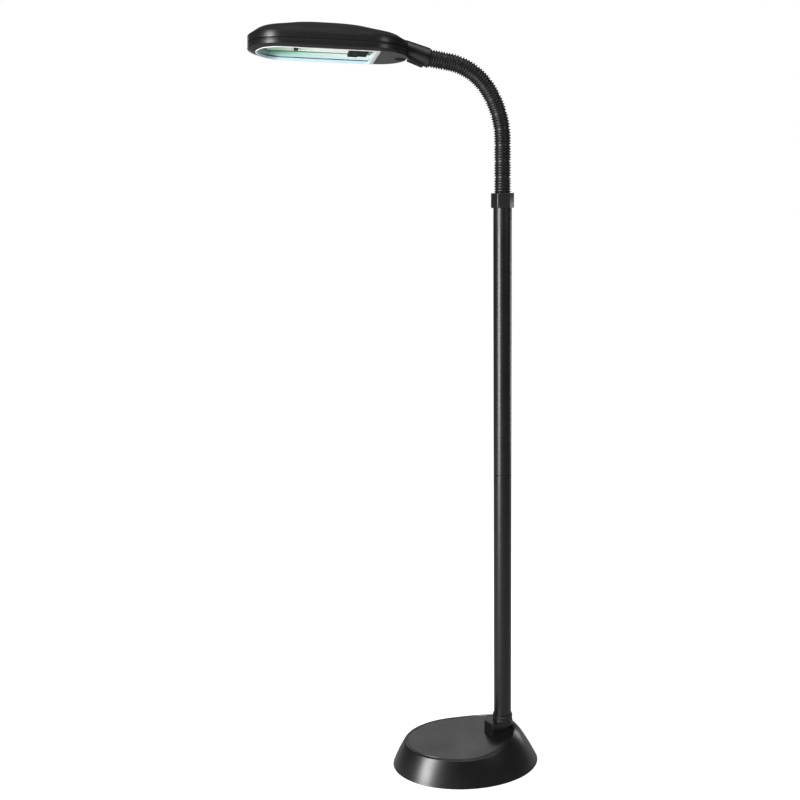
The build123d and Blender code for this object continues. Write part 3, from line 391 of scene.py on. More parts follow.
def extrude_ring(bm: Mesh, verts: Sequence[Vert], points: Sequence[Vector]) -> list[Vert]:
    """Extrude a ring and set the new vertices on the next points.

    Args:
        bm: The mesh that is being made.
        verts: The ring to go on from.
        points: Where each of its vertices goes.

    Returns:
        The new ring, in the same order.
    """
    made = bmesh.ops.extrude_edge_only(bm, edges=ring_edges(verts))["geom"]
    fresh = {item for item in made if isinstance(item, Vert)}
    ring = []
    for vert, point in zip(verts, points):
        follower = next(edge.other_vert(vert) for edge in vert.link_edges if edge.other_vert(vert) in fresh)
        follower.co = point
        ring.append(follower)
    return ring


def loft(bm: Mesh, rings: Sequence[Sequence[Vector]], capped: bool = True) -> list[list[Vert]]:
    """Skin a row of rings that have the same number of points.

    Args:
        bm: The mesh that takes the skin.
        rings: Points of each ring, in order.
        capped: Close the first and the last ring with a face.

    Returns:
        The vertices of each ring.
    """
    skin = [start_ring(bm, rings[0])]
    for points in rings[1:]:
        skin.append(extrude_ring(bm, skin[-1], points))
    if capped:
        for verts in (skin[0], skin[-1]):
            bmesh.ops.contextual_create(bm, geom=ring_edges(verts))
    return skin


def lathe(bm: Mesh, profile: Sequence[Point], steps: int) -> None:
    """Spin a closed profile about the pole axis.

    Args:
        bm: The mesh that takes the skin.
        profile: Radius and height of each point.
        steps: How many steps make the full turn.
    """
    verts = [bm.verts.new((radius, 0.0, height)) for radius, height in profile]
    edges = [bm.edges.new(pair) for pair in zip(verts, verts[1:] + verts[:1])]
    bmesh.ops.spin(
        bm,
        geom=verts + edges,
        cent=(0.0, 0.0, 0.0),
        axis=(0.0, 0.0, 1.0),
        angle=math.tau,
        steps=steps,
        use_merge=True,
    )


def add_box(bm: Mesh, size: Sequence[float]) -> None:
    """Add a box of three sides about the origin."""
    verts = bmesh.ops.create_cube(bm, size=1.0)["verts"]
    bmesh.ops.scale(bm, vec=size, verts=verts)


def climb(edge: Edge) -> float:
    """Height between the two ends of an edge."""
    return abs(edge.verts[0].co.z - edge.verts[1].co.z)


def is_corner(edge: Edge) -> bool:
    """Whether the two faces of an edge meet at a clear angle."""
    return edge.is_manifold and edge.calc_face_angle(0) > CORNER_ANGLE


def round_edges(bm: Mesh, edges: Sequence[Edge], width: float, segments: int = 3) -> None:
    """Round edges to a width with a circular profile."""
    bmesh.ops.bevel(
        bm,
        geom=list(edges),
        offset=width,
        offset_type="OFFSET",
        segments=segments,
        profile=0.5,
        affect="EDGES",
        material=-1,
        clamp_overlap=True,
    )


def sink(bm: Mesh, face: Face, rim: float, slope: float, depth: float) -> None:
    """Sink a pocket into a face, with a rim round it and walls that lean in by a slope."""
    bmesh.ops.inset_region(bm, faces=[face], thickness=rim, depth=0.0)
    bmesh.ops.inset_region(bm, faces=[face], thickness=slope, depth=-depth)


def add_object(name: str, data: bpy.types.ID) -> bpy.types.Object:
    """Make an object and link it to the scene.

    Args:
        name: The object's name.
        data: Its mesh, light or camera.

    Returns:
        The object.
    """
    made = bpy.data.objects.new(name, data)
    bpy.context.scene.collection.objects.link(made)
    return made


def make_piece(name: str, bm: Mesh, finish: Finish, body: str, nodes: Sequence[str]) -> bpy.types.Object:
    """Close the mesh work on one piece and hang it on the frame.

    Args:
        name: The piece's name.
        bm: Its mesh in millimetres, freed here.
        finish: What it is made of.
        body: The body it rides on.
        nodes: The solids that it stands for.

    Returns:
        The finished object.
    """
    bmesh.ops.remove_doubles(bm, verts=bm.verts[:], dist=MERGE_GAP)
    bmesh.ops.recalc_face_normals(bm, faces=bm.faces[:])
    bmesh.ops.scale(bm, vec=Vector((MM, MM, MM)), verts=bm.verts[:])
    mesh = bpy.data.meshes.new(name)
    bm.to_mesh(mesh)
    bm.free()
    mesh.shade_smooth()
    mesh.set_sharp_from_angle(angle=SHARP_ANGLE)
    mesh.materials.append(finish.material())
    piece = add_object(name, mesh)
    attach(piece, body)
    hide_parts(*nodes)
    LOG.info("%s: %d faces", name, len(mesh.polygons))
    return piece


@dataclass(frozen=True)
class Axes:
    """A place with three directions."""

    origin: Vector
    x: Vector
    y: Vector
    z: Vector

    def at(self, x: float, y: float, z: float) -> Vector:
        """Point in the lamp's frame for a point on these axes."""
        return self.origin + self.x * x + self.y * y + self.z * z

    def place(self, x: float, y: float, z: float) -> Matrix:
        """Matrix that sets a mesh along these axes with its origin on a point of theirs."""
        turn = Matrix((self.x, self.y, self.z)).transposed().to_4x4()
        return Matrix.Translation(self.at(x, y, z)) @ turn

    def round(self, radius: float, other: float, count: int, lift: float = 0.0) -> list[Vector]:
        """Ring of points on an ellipse square to z, lifted along z."""
        return [self.at(radius * math.cos(t), other * math.sin(t), lift) for t in turns(count)]


# Base
@dataclass
class Base:
    """Oval base: convex skirt, rounded rim, swept top face and the boss that takes the pole."""

    length: float = 317.0
    width: float = 236.0
    ahead: float = 82.7
    lift: float = 2.0
    closing_height: float = 133.0
    curve: float = 0.426
    drift: float = 15.0
    swell: float = 0.014
    rear_swell: float = 5.0
    rear_lean: int = 3
    wall: float = 3.0
    roof: float = 6.0
    foot_edge: float = 0.6
    flat: float = 55.0
    sweep_start: float = 100.0
    sweep_r: float = 290.0
    rim_r: float = 2.6
    rim_steps: int = 5
    halvings: int = 40
    groove_inset: float = 4.5
    groove_width: float = 2.2
    groove_depth: float = 1.0
    top_shares: tuple[float, ...] = (0.9, 0.78, 0.64, 0.5, 0.36, 0.22, 0.08)
    boss_top: float = 92.0
    boss_edge: float = 1.4
    boss_steps: int = 3
    boss_corner: float = 46.0
    nose_run: float = 36.3
    nose_turn: float = math.radians(27.7)
    flank_turn: float = math.radians(93.0)
    pad_r: float = 21.9
    gland_height: float = 14.0
    gland_r: float = 6.7
    gland_depth: float = 3.6
    gland_sides: int = 32
    gland_reach: float = 10.2
    foot_rings: int = 3
    skirt_rings: int = 14
    around: int = 160

    def skirt_size(self, height: float) -> tuple[float, float, float]:
        """Size of the skirt's oval at a height.

        Args:
            height: The height above the floor.

        Returns:
            Half length, half width and place ahead of the pole.
        """
        share = (1 - (height - self.lift) / self.closing_height) ** self.curve
        full = share * (1 + self.swell * math.sin(math.pi * self.rise(height)))
        return self.length / 2 * full, self.width / 2 * full, self.ahead + self.drift * (1 - share)

    def rise(self, height: float) -> float:
        """Share of the way from the foot of the skirt to the top of the boss."""
        return (height - self.lift) / (self.boss_top - self.lift)

    def skirt_point(self, turn: float, height: float, inset: float = 0.0) -> Vector:
        """Point of the skirt.

        Args:
            turn: Its turn about the middle of the oval.
            height: Its height above the floor.
            inset: How far it is drawn in.

        Returns:
            The point.
        """
        half_length, half_width, ahead = self.skirt_size(height)
        along, across = math.cos(turn), math.sin(turn)
        if along < 0:
            half_length -= self.rear_swell * math.sin(math.pi * self.rise(height) ** self.rear_lean) * along
        return Vector((ahead + (half_length - inset) * along, (half_width - inset) * across, height))

    def sweep(self, x: float) -> float:
        """Height of the top face: flat at the toe, then an arc up towards the pole."""
        run = max(0.0, self.sweep_start - x)
        return self.flat + self.sweep_r - math.sqrt(self.sweep_r**2 - run**2)

    def rim_height(self, turn: float) -> float:
        """Find by halving where the skirt meets the top face.

        Args:
            turn: The turn about the middle of the oval.

        Returns:
            The height of the rim there.
        """
        low, high = self.flat - self.wall, self.boss_top
        for _ in range(self.halvings):
            middle = (low + high) / 2
            if self.sweep(self.skirt_point(turn, middle).x) > middle:
                low = middle
            else:
                high = middle
        return low

    def top_ring(self, rim: Sequence[Vector], inset: float, share: float, drop: float) -> list[Vector]:
        """Ring on the top face inside the rim.

        Args:
            rim: The rim's points.
            inset: How far it is drawn in from the rim.
            share: Then how much of the way from the middle is left.
            drop: How far it lies under the face.

        Returns:
            The ring's points.
        """
        middle = Vector((self.ahead, 0.0, 0.0))
        ring = []
        for point in rim:
            out = Vector((point.x, point.y, 0.0)) - middle
            spot = middle + out * share * (1 - inset / out.length)
            ring.append(Vector((spot.x, spot.y, self.sweep(spot.x) - drop)))
        return ring

    def boss_reach(self, turn: float) -> float:
        """Radius of the boss: a blunt nose ahead, straight flanks and the pole's round pad behind.

        Args:
            turn: The turn about the pole.

        Returns:
            The radius there.
        """
        away = abs(math.remainder(turn, math.tau))
        faces = (
            math.cos(away - self.nose_turn) / self.nose_run,
            math.cos(away + self.nose_turn) / self.nose_run,
            math.cos(min(away, self.flank_turn) - self.flank_turn) / self.pad_r,
        )
        return sum(max(0.0, face) ** self.boss_corner for face in faces) ** (-1 / self.boss_corner)

    def boss_ring(self, height: float, inset: float = 0.0) -> list[Vector]:
        """Ring of the boss at a height, drawn in by an inset."""
        spots = [(turn, self.boss_reach(turn) - inset) for turn in turns(self.around)]
        return [Vector((reach * math.cos(turn), reach * math.sin(turn), height)) for turn, reach in spots]

    def build(self) -> None:
        """Make the cover with its boss as one piece."""
        bm = bmesh.new()
        skin = loft(bm, self._cover_rings())
        self._boss(bm)
        round_edges(bm, ring_edges(skin[self.foot_rings + self.skirt_rings]), self.rim_r, self.rim_steps)
        self._gland_recess(bm)
        make_piece("base_cover", bm, BASE_ABS, "stand", ["base_shell"])

    def _cover_rings(self) -> list[list[Vector]]:
        """Work out the cover from its foot over the skirt, the rim and the groove to the middle of its top.

        Returns:
            The points of each ring.
        """
        around = turns(self.around)
        tops = [self.rim_height(turn) for turn in around]
        start = self.lift + self.foot_edge
        foot = ((self.roof, self.wall), (self.lift, self.wall), (self.lift, self.foot_edge))
        rings = [[self.skirt_point(turn, height, inset) for turn in around] for height, inset in foot]
        for ring in range(self.skirt_rings + 1):
            heights = [start + (top - start) * ring / self.skirt_rings for top in tops]
            rings.append([self.skirt_point(turn, height) for turn, height in zip(around, heights)])
        rim = rings[-1]
        outer, inner = self.groove_inset, self.groove_inset + self.groove_width
        shelf, deep = self.groove_depth / 2, self.groove_depth
        groove = ((outer, 0.0), (outer + shelf, deep), (inner - shelf, deep), (inner, 0.0))
        rings += [self.top_ring(rim, inset, 1.0, drop) for inset, drop in groove]
        rings += [self.top_ring(rim, inner, share, 0.0) for share in self.top_shares]
        return rings

    def _boss(self, bm: Mesh) -> None:
        """Add the boss with its rounded upper edge.

        Args:
            bm: The cover's mesh.
        """
        rings = [self.boss_ring(self.flat - self.wall)]
        for step in range(self.boss_steps + 1):
            turn = math.pi / 2 * step / self.boss_steps
            drop, inset = self.boss_edge * (1 - math.sin(turn)), self.boss_edge * (1 - math.cos(turn))
            rings.append(self.boss_ring(self.boss_top - drop, inset))
        middle = Axes(Vector((0, 0, self.boss_top)), *Matrix.Identity(3))
        rings.append(middle.round(self.pad_r / 2, self.pad_r / 2, self.around))
        loft(bm, rings)

    def _gland_recess(self, bm: Mesh) -> None:
        """Cut the round recess for the cord gland into the rear of the skirt.

        Args:
            bm: The cover's mesh.
        """
        seat = self.skirt_point(math.pi, self.gland_height + self.gland_r).x + self.gland_depth
        for turn in turns(self.gland_sides):
            out = Vector((0.0, math.cos(turn), math.sin(turn)))
            faces = self._near_gland(bm)
            edges = dict.fromkeys(edge for face in faces for edge in face.edges)
            verts = dict.fromkeys(vert for face in faces for vert in face.verts)
            bmesh.ops.bisect_plane(
                bm,
                geom=[*verts, *edges, *faces],
                dist=MERGE_GAP,
                plane_co=Vector((0.0, 0.0, self.gland_height)) + out * self.gland_r,
                plane_no=out,
            )
        inside = [face for face in self._near_gland(bm) if self._in_gland(face)]
        sunk = bmesh.ops.extrude_face_region(bm, geom=inside)["geom"]
        for item in sunk:
            if isinstance(item, Vert):
                item.co.x = seat
        bmesh.ops.delete(bm, geom=[face for face in inside if face.is_valid], context="FACES")
        bmesh.ops.dissolve_faces(bm, faces=[item for item in sunk if isinstance(item, Face)])

    def _from_gland(self, face: Face) -> Vector:
        """Middle of a face as seen from the gland's axis."""
        return face.calc_center_median() - Vector((0.0, 0.0, self.gland_height))

    def _near_gland(self, bm: Mesh) -> list[Face]:
        """Faces of the rear skirt whose middle lies near the gland's axis."""
        spots = [(face, self._from_gland(face)) for face in bm.faces]
        return [face for face, spot in spots if spot.x < 0 and spot.yz.length < self.gland_reach]

    def _in_gland(self, face: Face) -> bool:
        """Whether a face lies inside all the cuts round the gland."""
        spot, around = self._from_gland(face), turns(self.gland_sides)
        return all(spot.y * math.cos(turn) + spot.z * math.sin(turn) < self.gland_r for turn in around)


# Pole
@dataclass
class Pole:
    """Two coated tubes, the ribbed ferrule at their foot and the faceted collar at their top."""

    radius: float = 18.5
    wall: float = 1.2
    bottom: float = 92.0
    seam: float = 641.0
    top: float = 1200.5
    seam_edge: float = 0.7
    fit: float = 0.05
    ferrule_r: float = 20.4
    ferrule_top: float = 107.0
    ribs: int = 2
    rib_rise: float = 1.0
    rib_height: float = 3.6
    rib_step: float = 7.5
    rib_edge: float = 0.5
    rib_soft: float = 0.4
    valley: float = 0.3
    collar_r: float = 23.6
    collar_sides: int = 6
    collar_turn: float = -98.5
    collar_bottom: float = 1186.5
    collar_top: float = 1215.5
    collar_edge: float = 2.4
    collar_steps: int = 5
    collar_lip: float = 1.0
    mouth_rim: float = 1.6
    mouth_slope: float = 0.5
    mouth_depth: float = 1.0
    around: int = 96

    def build(self) -> None:
        """Make the tubes, the ferrule and the collar."""
        self._tube("pole_tube_lower", self.bottom, self.seam, "pole_lower_tube")
        self._tube("pole_tube_upper", self.seam, self.top, "pole_upper_tube")
        self._ferrule()
        self._collar()

    def _tube(self, name: str, bottom: float, top: float, node: str) -> None:
        """Make one tube with a small broken edge at each end, so that the seam shows as a fine line.

        Args:
            name: The piece's name.
            bottom: Height of its lower end.
            top: Height of its upper end.
            node: The solid that it stands for.
        """
        inner, edge = self.radius - self.wall, self.seam_edge
        profile = [
            (inner, bottom),
            (self.radius - edge, bottom),
            (self.radius, bottom + edge),
            (self.radius, top - edge),
            (self.radius - edge, top),
            (inner, top),
        ]
        bm = bmesh.new()
        lathe(bm, profile, self.around)
        make_piece(name, bm, POWDER_COAT, "stand", [node])

    def _ferrule(self) -> None:
        """Ferrule with rounded ribs and a drawn-in top lip."""
        inner, rib_r = self.radius + self.fit, self.ferrule_r + self.rib_rise
        profile: list[Point] = [(inner, self.bottom)]
        for rib in range(self.ribs):
            foot = self.bottom + rib * self.rib_step
            head = foot + self.rib_height
            profile += [
                (rib_r - self.valley, foot + self.fit),
                (rib_r, foot + self.rib_edge),
                (rib_r, head - self.rib_edge),
                (rib_r - self.rib_soft, head),
                (self.ferrule_r - self.valley, head + self.rib_soft),
                (self.ferrule_r - self.valley, foot + self.rib_step - self.rib_soft),
            ]
        lip = (self.ferrule_r - 2 * self.valley, self.ferrule_top - self.rib_soft)
        profile += [lip, (inner, self.ferrule_top)]
        bm = bmesh.new()
        lathe(bm, profile, self.around)
        make_piece("pole_ferrule", bm, COLLAR_ABS, "stand", ["pole_foot_ferrule"])

    def _collar(self) -> None:
        """Six-sided collar with rounded corners and a recessed mouth round the flexible neck."""
        bm = bmesh.new()
        made = bmesh.ops.create_circle(bm, cap_ends=True, segments=self.collar_sides, radius=self.collar_r)
        turn = Matrix.Rotation(math.radians(self.collar_turn), 3, "Z")
        bmesh.ops.rotate(bm, cent=(0, 0, 0), matrix=turn, verts=made["verts"])
        bmesh.ops.translate(bm, vec=(0, 0, self.collar_bottom), verts=made["verts"])
        grown = bmesh.ops.extrude_face_region(bm, geom=bm.faces[:])["geom"]
        upper = [item for item in grown if isinstance(item, Vert)]
        bmesh.ops.translate(bm, vec=(0, 0, self.collar_top - self.collar_bottom), verts=upper)
        upright = [edge for edge in bm.edges if climb(edge) > EDGE_RUN]
        round_edges(bm, upright, self.collar_edge, self.collar_steps)
        level = [edge for edge in bm.edges if climb(edge) < SAME and is_corner(edge)]
        round_edges(bm, level, self.collar_lip)
        lid = max(bm.faces, key=lambda face: face.calc_center_median().z)
        sink(bm, lid, self.mouth_rim, self.mouth_slope, self.mouth_depth)
        make_piece("pole_collar", bm, COLLAR_ABS, "stand", ["pole_top_collar"])


# Flexible neck
@dataclass
class Neck:
    """Ribbed sleeve over eleven links, one length for each, with a ball-shaped tongue at each joint."""

    foot: float = 1215.5
    runs: tuple[Point, ...] = ((101.0, 0.0), (104.5, 33.8), (93.5, 45.7), (40.0, 0.0))
    links: int = 11
    ribs_per_link: int = 6
    crest_r: float = 16.9
    root_r: float = 14.3
    ball_r: float = 14.0
    seam: float = 1.7
    tongue_runs: tuple[float, ...] = (0.0, 1.5, 3.0, 4.2, 5.2)
    tuck: float = 9.0
    around: int = 44
    profile: tuple[Point, ...] = (
        (0.0, 0.0),
        (0.14, 0.06),
        (0.24, 0.34),
        (0.33, 0.74),
        (0.42, 0.95),
        (0.5, 1.0),
        (0.58, 0.95),
        (0.67, 0.74),
        (0.76, 0.34),
        (0.86, 0.06),
    )

    @property
    def length(self) -> float:
        """Length of the neck along its centreline."""
        return sum(run for run, turn in self.runs)

    @property
    def link(self) -> float:
        """Length of one link."""
        return self.length / self.links

    @property
    def bodies(self) -> list[str]:
        """The bodies from the stand to the head, one for each link."""
        return ["stand"] + [f"neck_link_{number:02d}" for number in range(2, self.links)] + ["head"]

    def axes(self, distance: float) -> Axes:
        """Follow the straight and curved runs of the centreline.

        Args:
            distance: How far to go along it. The last run goes on past its end.

        Returns:
            The place there, with z along the neck and x across it.
        """
        x, z, angle, left = 0.0, self.foot, 0.0, distance
        for number, (run, turn) in enumerate(self.runs):
            is_last = number == len(self.runs) - 1
            step = left if is_last else min(left, run)
            end = angle + math.radians(turn) * step / run
            if turn:
                bend_r = run / math.radians(turn)
                x += bend_r * (math.cos(angle) - math.cos(end))
                z += bend_r * (math.sin(end) - math.sin(angle))
            else:
                x += step * math.sin(angle)
                z += step * math.cos(angle)
            angle = end
            left -= step
            if left <= 0:
                break
        along, across = Vector((math.sin(angle), 0, math.cos(angle))), Vector((0, 1, 0))
        return Axes(Vector((x, 0, z)), across, along.cross(across), along)

    def stretch(self, start: float, end: float) -> Mesh:
        """Make the sleeve between two distances, rib by rib.

        Args:
            start: First distance along the neck.
            end: Last distance along the neck. Short of the head, a tongue runs on from there.

        Returns:
            The open ribbed tube.
        """
        pitch = self.link / self.ribs_per_link
        first, last = start + self.seam, end - self.seam
        spots = [(first, self.root_r)]
        for rib in range(math.floor(start / pitch), math.ceil(end / pitch)):
            for share, rise in self.profile:
                distance = (rib + share) * pitch
                if first < distance < last:
                    spots.append((distance, self.root_r + (self.crest_r - self.root_r) * rise))
        spots.append((last, self.root_r))
        if end < self.length:
            runs = (-self.seam, *self.tongue_runs)
            spots += [(end + run, math.sqrt(self.ball_r**2 - run**2)) for run in runs]
        bm = bmesh.new()
        loft(bm, [self.axes(d).round(r, r, self.around) for d, r in spots], capped=False)
        return bm

    def build(self) -> None:
        """Make one length for each link, its round tongue running on inside the next one."""
        for number, body in enumerate(self.bodies):
            start = number * self.link if number else -self.tuck
            end = (number + 1) * self.link if body != "head" else self.length + self.tuck
            bm = self.stretch(start, end)
            make_piece(f"sleeve_{number + 1:02d}", bm, SLEEVE_PVC, body, [f"neck_sleeve_{number + 1:02d}"])


# Head
@dataclass(frozen=True)
class Outline:
    """One level of the head: a paddle with a round tip, straight sides and a drawn-in rear."""

    height: float
    inset: float
    rear: float
    shoulder: float
    tip: float
    tip_run: float


@dataclass
class Head:
    """Lamp head: top cover and lower pan with their halves of the neck, and the clamp lug.

    An edge is a row of steps, each a distance from the edge and how far the band is drawn in there.
    The one at the shoulder goes on through the groove.
    """

    ahead: float = 100.4
    rise: float = 0.4
    pitch: float = 2.6
    roll: float = 2.0
    width: float = 164.0
    rear_width: float = 36.0
    rear: float = -57.0
    shoulder: float = 20.0
    tip: float = 245.0
    tip_run: float = 64.0
    wall: float = 2.5
    seam: float = 0.35
    rim_height: float = 3.8
    parting: float = 14.5
    shoulder_height: float = 27.6
    parting_edge: tuple[Point, ...] = ((0.0, 0.7), (0.25, 0.15), (0.8, 0.0))
    shoulder_edge: tuple[Point, ...] = (
        (0.9, 0.0),
        (0.3, 0.2),
        (0.0, 0.7),
        (0.5, 1.36),
        (-0.1, 1.8),
        (-0.7, 1.3),
    )
    rim_edge: tuple[Point, ...] = ((0.9, 0.0), (0.25, 0.15), (-0.2, 0.7))
    facet: Outline = Outline(42.5, 21.5, -34.0, 82.0, 224.0, 55.0)
    crown: Outline = Outline(53.5, 50.0, 22.0, 95.0, 172.0, 60.0)
    ridge: Outline = Outline(54.4, 66.0, 60.0, 105.0, 150.0, 40.0)
    soft_rim: Outline = Outline(0.25, 10.4, -57.0, -1.0, 234.6, 53.6)
    rim: Outline = Outline(0.0, 11.5, -57.0, -2.0, 233.5, 52.5)
    panel: Outline = Outline(0.0, 13.0, -55.5, -2.0, 232.0, 51.0)
    inside: Outline = Outline(4.1, 10.0, -54.5, 0.0, 234.0, 53.0)
    facet_edge: float = 6.0
    facet_steps: int = 5
    mouth_r: float = 18.5
    mouth_edge: float = 0.8
    mouth_step: float = 0.5
    crease_height: float = 19.5
    crease_width: float = 35.0
    crease_depth: float = 31.0
    fairing: float = 16.0
    neck_steps: int = 8
    neck_around: int = 56
    lug_length: float = 33.0
    lug_width: float = 20.0
    lug_depth: float = 20.5
    lug_setback: float = 5.0
    lug_corner: float = 3.6
    lug_steps: int = 5
    lug_edge: float = 1.4
    pocket_rim: float = 5.6
    pocket_slope: float = 0.4
    pocket_depth: float = 5.0
    counts: tuple[int, int, int, int] = (8, 14, 10, 26)
    axes: Axes = field(init=False)

    def __post_init__(self) -> None:
        """Set the head's axes from the end of the flexible neck."""
        end = NECK.axes(NECK.length).origin
        pitch, roll = math.radians(self.pitch), math.radians(self.roll)
        x = Vector((math.cos(pitch), 0, math.sin(pitch)))
        z = Vector((-math.sin(pitch) * math.cos(roll), -math.sin(roll), math.cos(pitch) * math.cos(roll)))
        self.axes = Axes(end + Vector((self.ahead, 0, self.rise)), x, z.cross(x), z)

    def half_plan(self, level: Outline) -> list[Point]:
        """Work out one half of an outline.

        Args:
            level: The outline.

        Returns:
            Plan points from the middle of its rear to its tip.
        """
        rear_n, corner_n, side_n, tip_n = self.counts
        half = self.width / 2 - level.inset
        narrow = self.rear_width / self.width
        middle = level.tip - level.tip_run
        run = (level.shoulder - level.rear) / math.sqrt(1 - narrow**2)
        start = math.pi - math.asin(narrow)
        return [
            *line((level.rear, 0.0), (level.rear, half * narrow), rear_n),
            *arc((level.shoulder, 0.0), (run, half), start, math.pi / 2, corner_n),
            *line((level.shoulder, half), (middle, half), side_n),
            *arc((middle, 0.0), (level.tip_run, half), math.pi / 2, 0.0, tip_n),
            (level.tip, 0.0),
        ]

    def ring(self, plan: Sequence[Point], height: float) -> list[Vector]:
        """Mirror half a plan into a closed ring at a height."""
        far = [(x, -y) for x, y in reversed(plan[1:-1])]
        return [self.axes.at(x, y, height) for x, y in list(plan) + far]

    def level(self, level: Outline) -> list[Vector]:
        """Ring of one outline."""
        return self.ring(self.half_plan(level), level.height)

    def band(self, height: float, inset: float = 0.0) -> Outline:
        """Outline of the upright band, drawn in evenly."""
        tip, run = self.tip - inset, self.tip_run - inset
        return Outline(height, inset, self.rear + inset, self.shoulder, tip, run)

    def build(self) -> None:
        """Make the top cover and the lower pan."""
        self._cover()
        self._pan()

    def _cover(self) -> None:
        """Top cover: upright band, groove, sloping facet and gently rounded crown."""
        low, high = self.parting + self.seam, self.shoulder_height
        levels = [
            *(self.band(low + step, inset) for step, inset in self.parting_edge),
            *(self.band(high - step, inset) for step, inset in self.shoulder_edge),
            self.facet,
            self.crown,
            self.ridge,
        ]
        bm = bmesh.new()
        self._neck_half(bm, 1)
        skin = loft(bm, [self.level(level) for level in levels])
        round_edges(bm, ring_edges(skin[levels.index(self.facet)]), self.facet_edge, self.facet_steps)
        make_piece("head_cover", bm, HEAD_ABS, "head", ["head_top_shell"])

    def _pan(self) -> None:
        """Lower pan: upright band, chamfered rim and a flat panel with the opening for the lens."""
        high = self.parting - self.seam
        levels = [
            self.band(high, self.wall),
            *(self.band(high - step, inset) for step, inset in self.parting_edge),
            *(self.band(self.rim_height + step, inset) for step, inset in self.rim_edge),
            self.soft_rim,
            self.rim,
            self.panel,
        ]
        opening = LENS.half_plan(0.0, 0.0)
        rings = [
            *(self.level(level) for level in levels),
            self.ring(opening, 0.0),
            self.ring(opening, self.wall),
            self.level(self.inside),
            self.level(self.band(high, self.wall)),
        ]
        bm = bmesh.new()
        self._neck_half(bm, -1)
        skin = loft(bm, rings, capped=False)
        window = set(skin[len(levels)])
        # The flat panel round the opening and the opening's wall take the panel finish with its painted
        # reflection.
        for face in bm.faces:
            face.material_index = int(not window.isdisjoint(face.verts))
        self._lug(bm)
        pan = make_piece("head_pan", bm, HEAD_ABS, "head", ["head_lower_shell"])
        pan.data.materials.append(PANEL_ABS_PAINTED_REFLECTION.material())

    def _crease(self) -> Axes:
        """Axes of the crease where the neck of the head meets its rear."""
        return Axes(self.axes.at(self.rear, 0, self.crease_height), self.axes.y, self.axes.z, self.axes.x)

    def _neck_half(self, bm: Mesh, side: int) -> None:
        """Start a mesh with one half of the neck of the head, parted along the seam.

        Args:
            bm: The empty mesh that takes it.
            side: 1 for the upper half, which runs on as a fairing into the top, and -1 for the lower.
        """
        mouth, crease, count = NECK.axes(NECK.length), self._crease(), self.neck_around
        mouth_r, wide_end, deep_end = self.mouth_r, self.crease_width / 2, self.crease_depth / 2
        rings = [mouth.round(mouth_r - self.mouth_edge, mouth_r - self.mouth_edge, count)]
        for number in range(self.neck_steps + 1):
            share = number / self.neck_steps
            wide, deep = (mouth_r + (last - mouth_r) * share for last in (wide_end, deep_end))
            origin = (mouth.origin + mouth.z * self.mouth_step).lerp(crease.origin, share)
            across, up = mouth.x.lerp(crease.x, share), mouth.y.lerp(crease.y, share)
            station = Axes(origin, across.normalized(), up.normalized(), crease.z)
            rings.append(station.round(wide, deep, count))
        if side > 0:
            rings.append(crease.round(wide_end, deep_end, count, self.fairing))
        loft(bm, rings)
        along = self.axes.at(self.rear, 0, self.parting) - mouth.origin
        normal = along.cross(self.axes.y).normalized()
        cut = bmesh.ops.bisect_plane(
            bm,
            geom=bm.verts[:] + bm.edges[:] + bm.faces[:],
            dist=MERGE_GAP,
            plane_co=mouth.origin + normal * self.seam * side,
            plane_no=normal,
            clear_inner=side > 0,
            clear_outer=side < 0,
        )["geom_cut"]
        bmesh.ops.contextual_create(bm, geom=[item for item in cut if isinstance(item, Edge)])

    def _lug(self, bm: Mesh) -> None:
        """Add the rounded lug under the neck, with the pocket for the clamp screw.

        Args:
            bm: The pan's mesh.
        """
        mouth, crease = NECK.axes(NECK.length).origin, self._crease().origin
        along = (crease - mouth).normalized()
        down = -along.cross(self.axes.y)
        length, depth = self.lug_length, self.lug_depth - self.mouth_r / 2
        lug = bmesh.new()
        add_box(lug, (length, self.lug_width, depth))
        upright = [edge for edge in lug.edges if climb(edge) > EDGE_RUN]
        bottom = max(lug.faces, key=lambda face: face.calc_center_median().z)
        sink(lug, bottom, self.pocket_rim, self.pocket_slope, self.pocket_depth)
        round_edges(lug, upright, self.lug_corner, self.lug_steps)
        low = [edge for edge in lug.edges if min(vert.co.z for vert in edge.verts) > depth / 2 - SAME]
        round_edges(lug, [edge for edge in low if is_corner(edge)], self.lug_edge)
        middle = mouth + along * (self.lug_setback + length / 2) + down * (self.lug_depth - depth / 2)
        place = Axes(middle, along, self.axes.y, down).place(0.0, 0.0, 0.0)
        bmesh.ops.transform(lug, matrix=place, verts=lug.verts[:])
        spare = bpy.data.meshes.new("spare")
        lug.to_mesh(spare)
        lug.free()
        bm.from_mesh(spare)
        bpy.data.meshes.remove(spare)


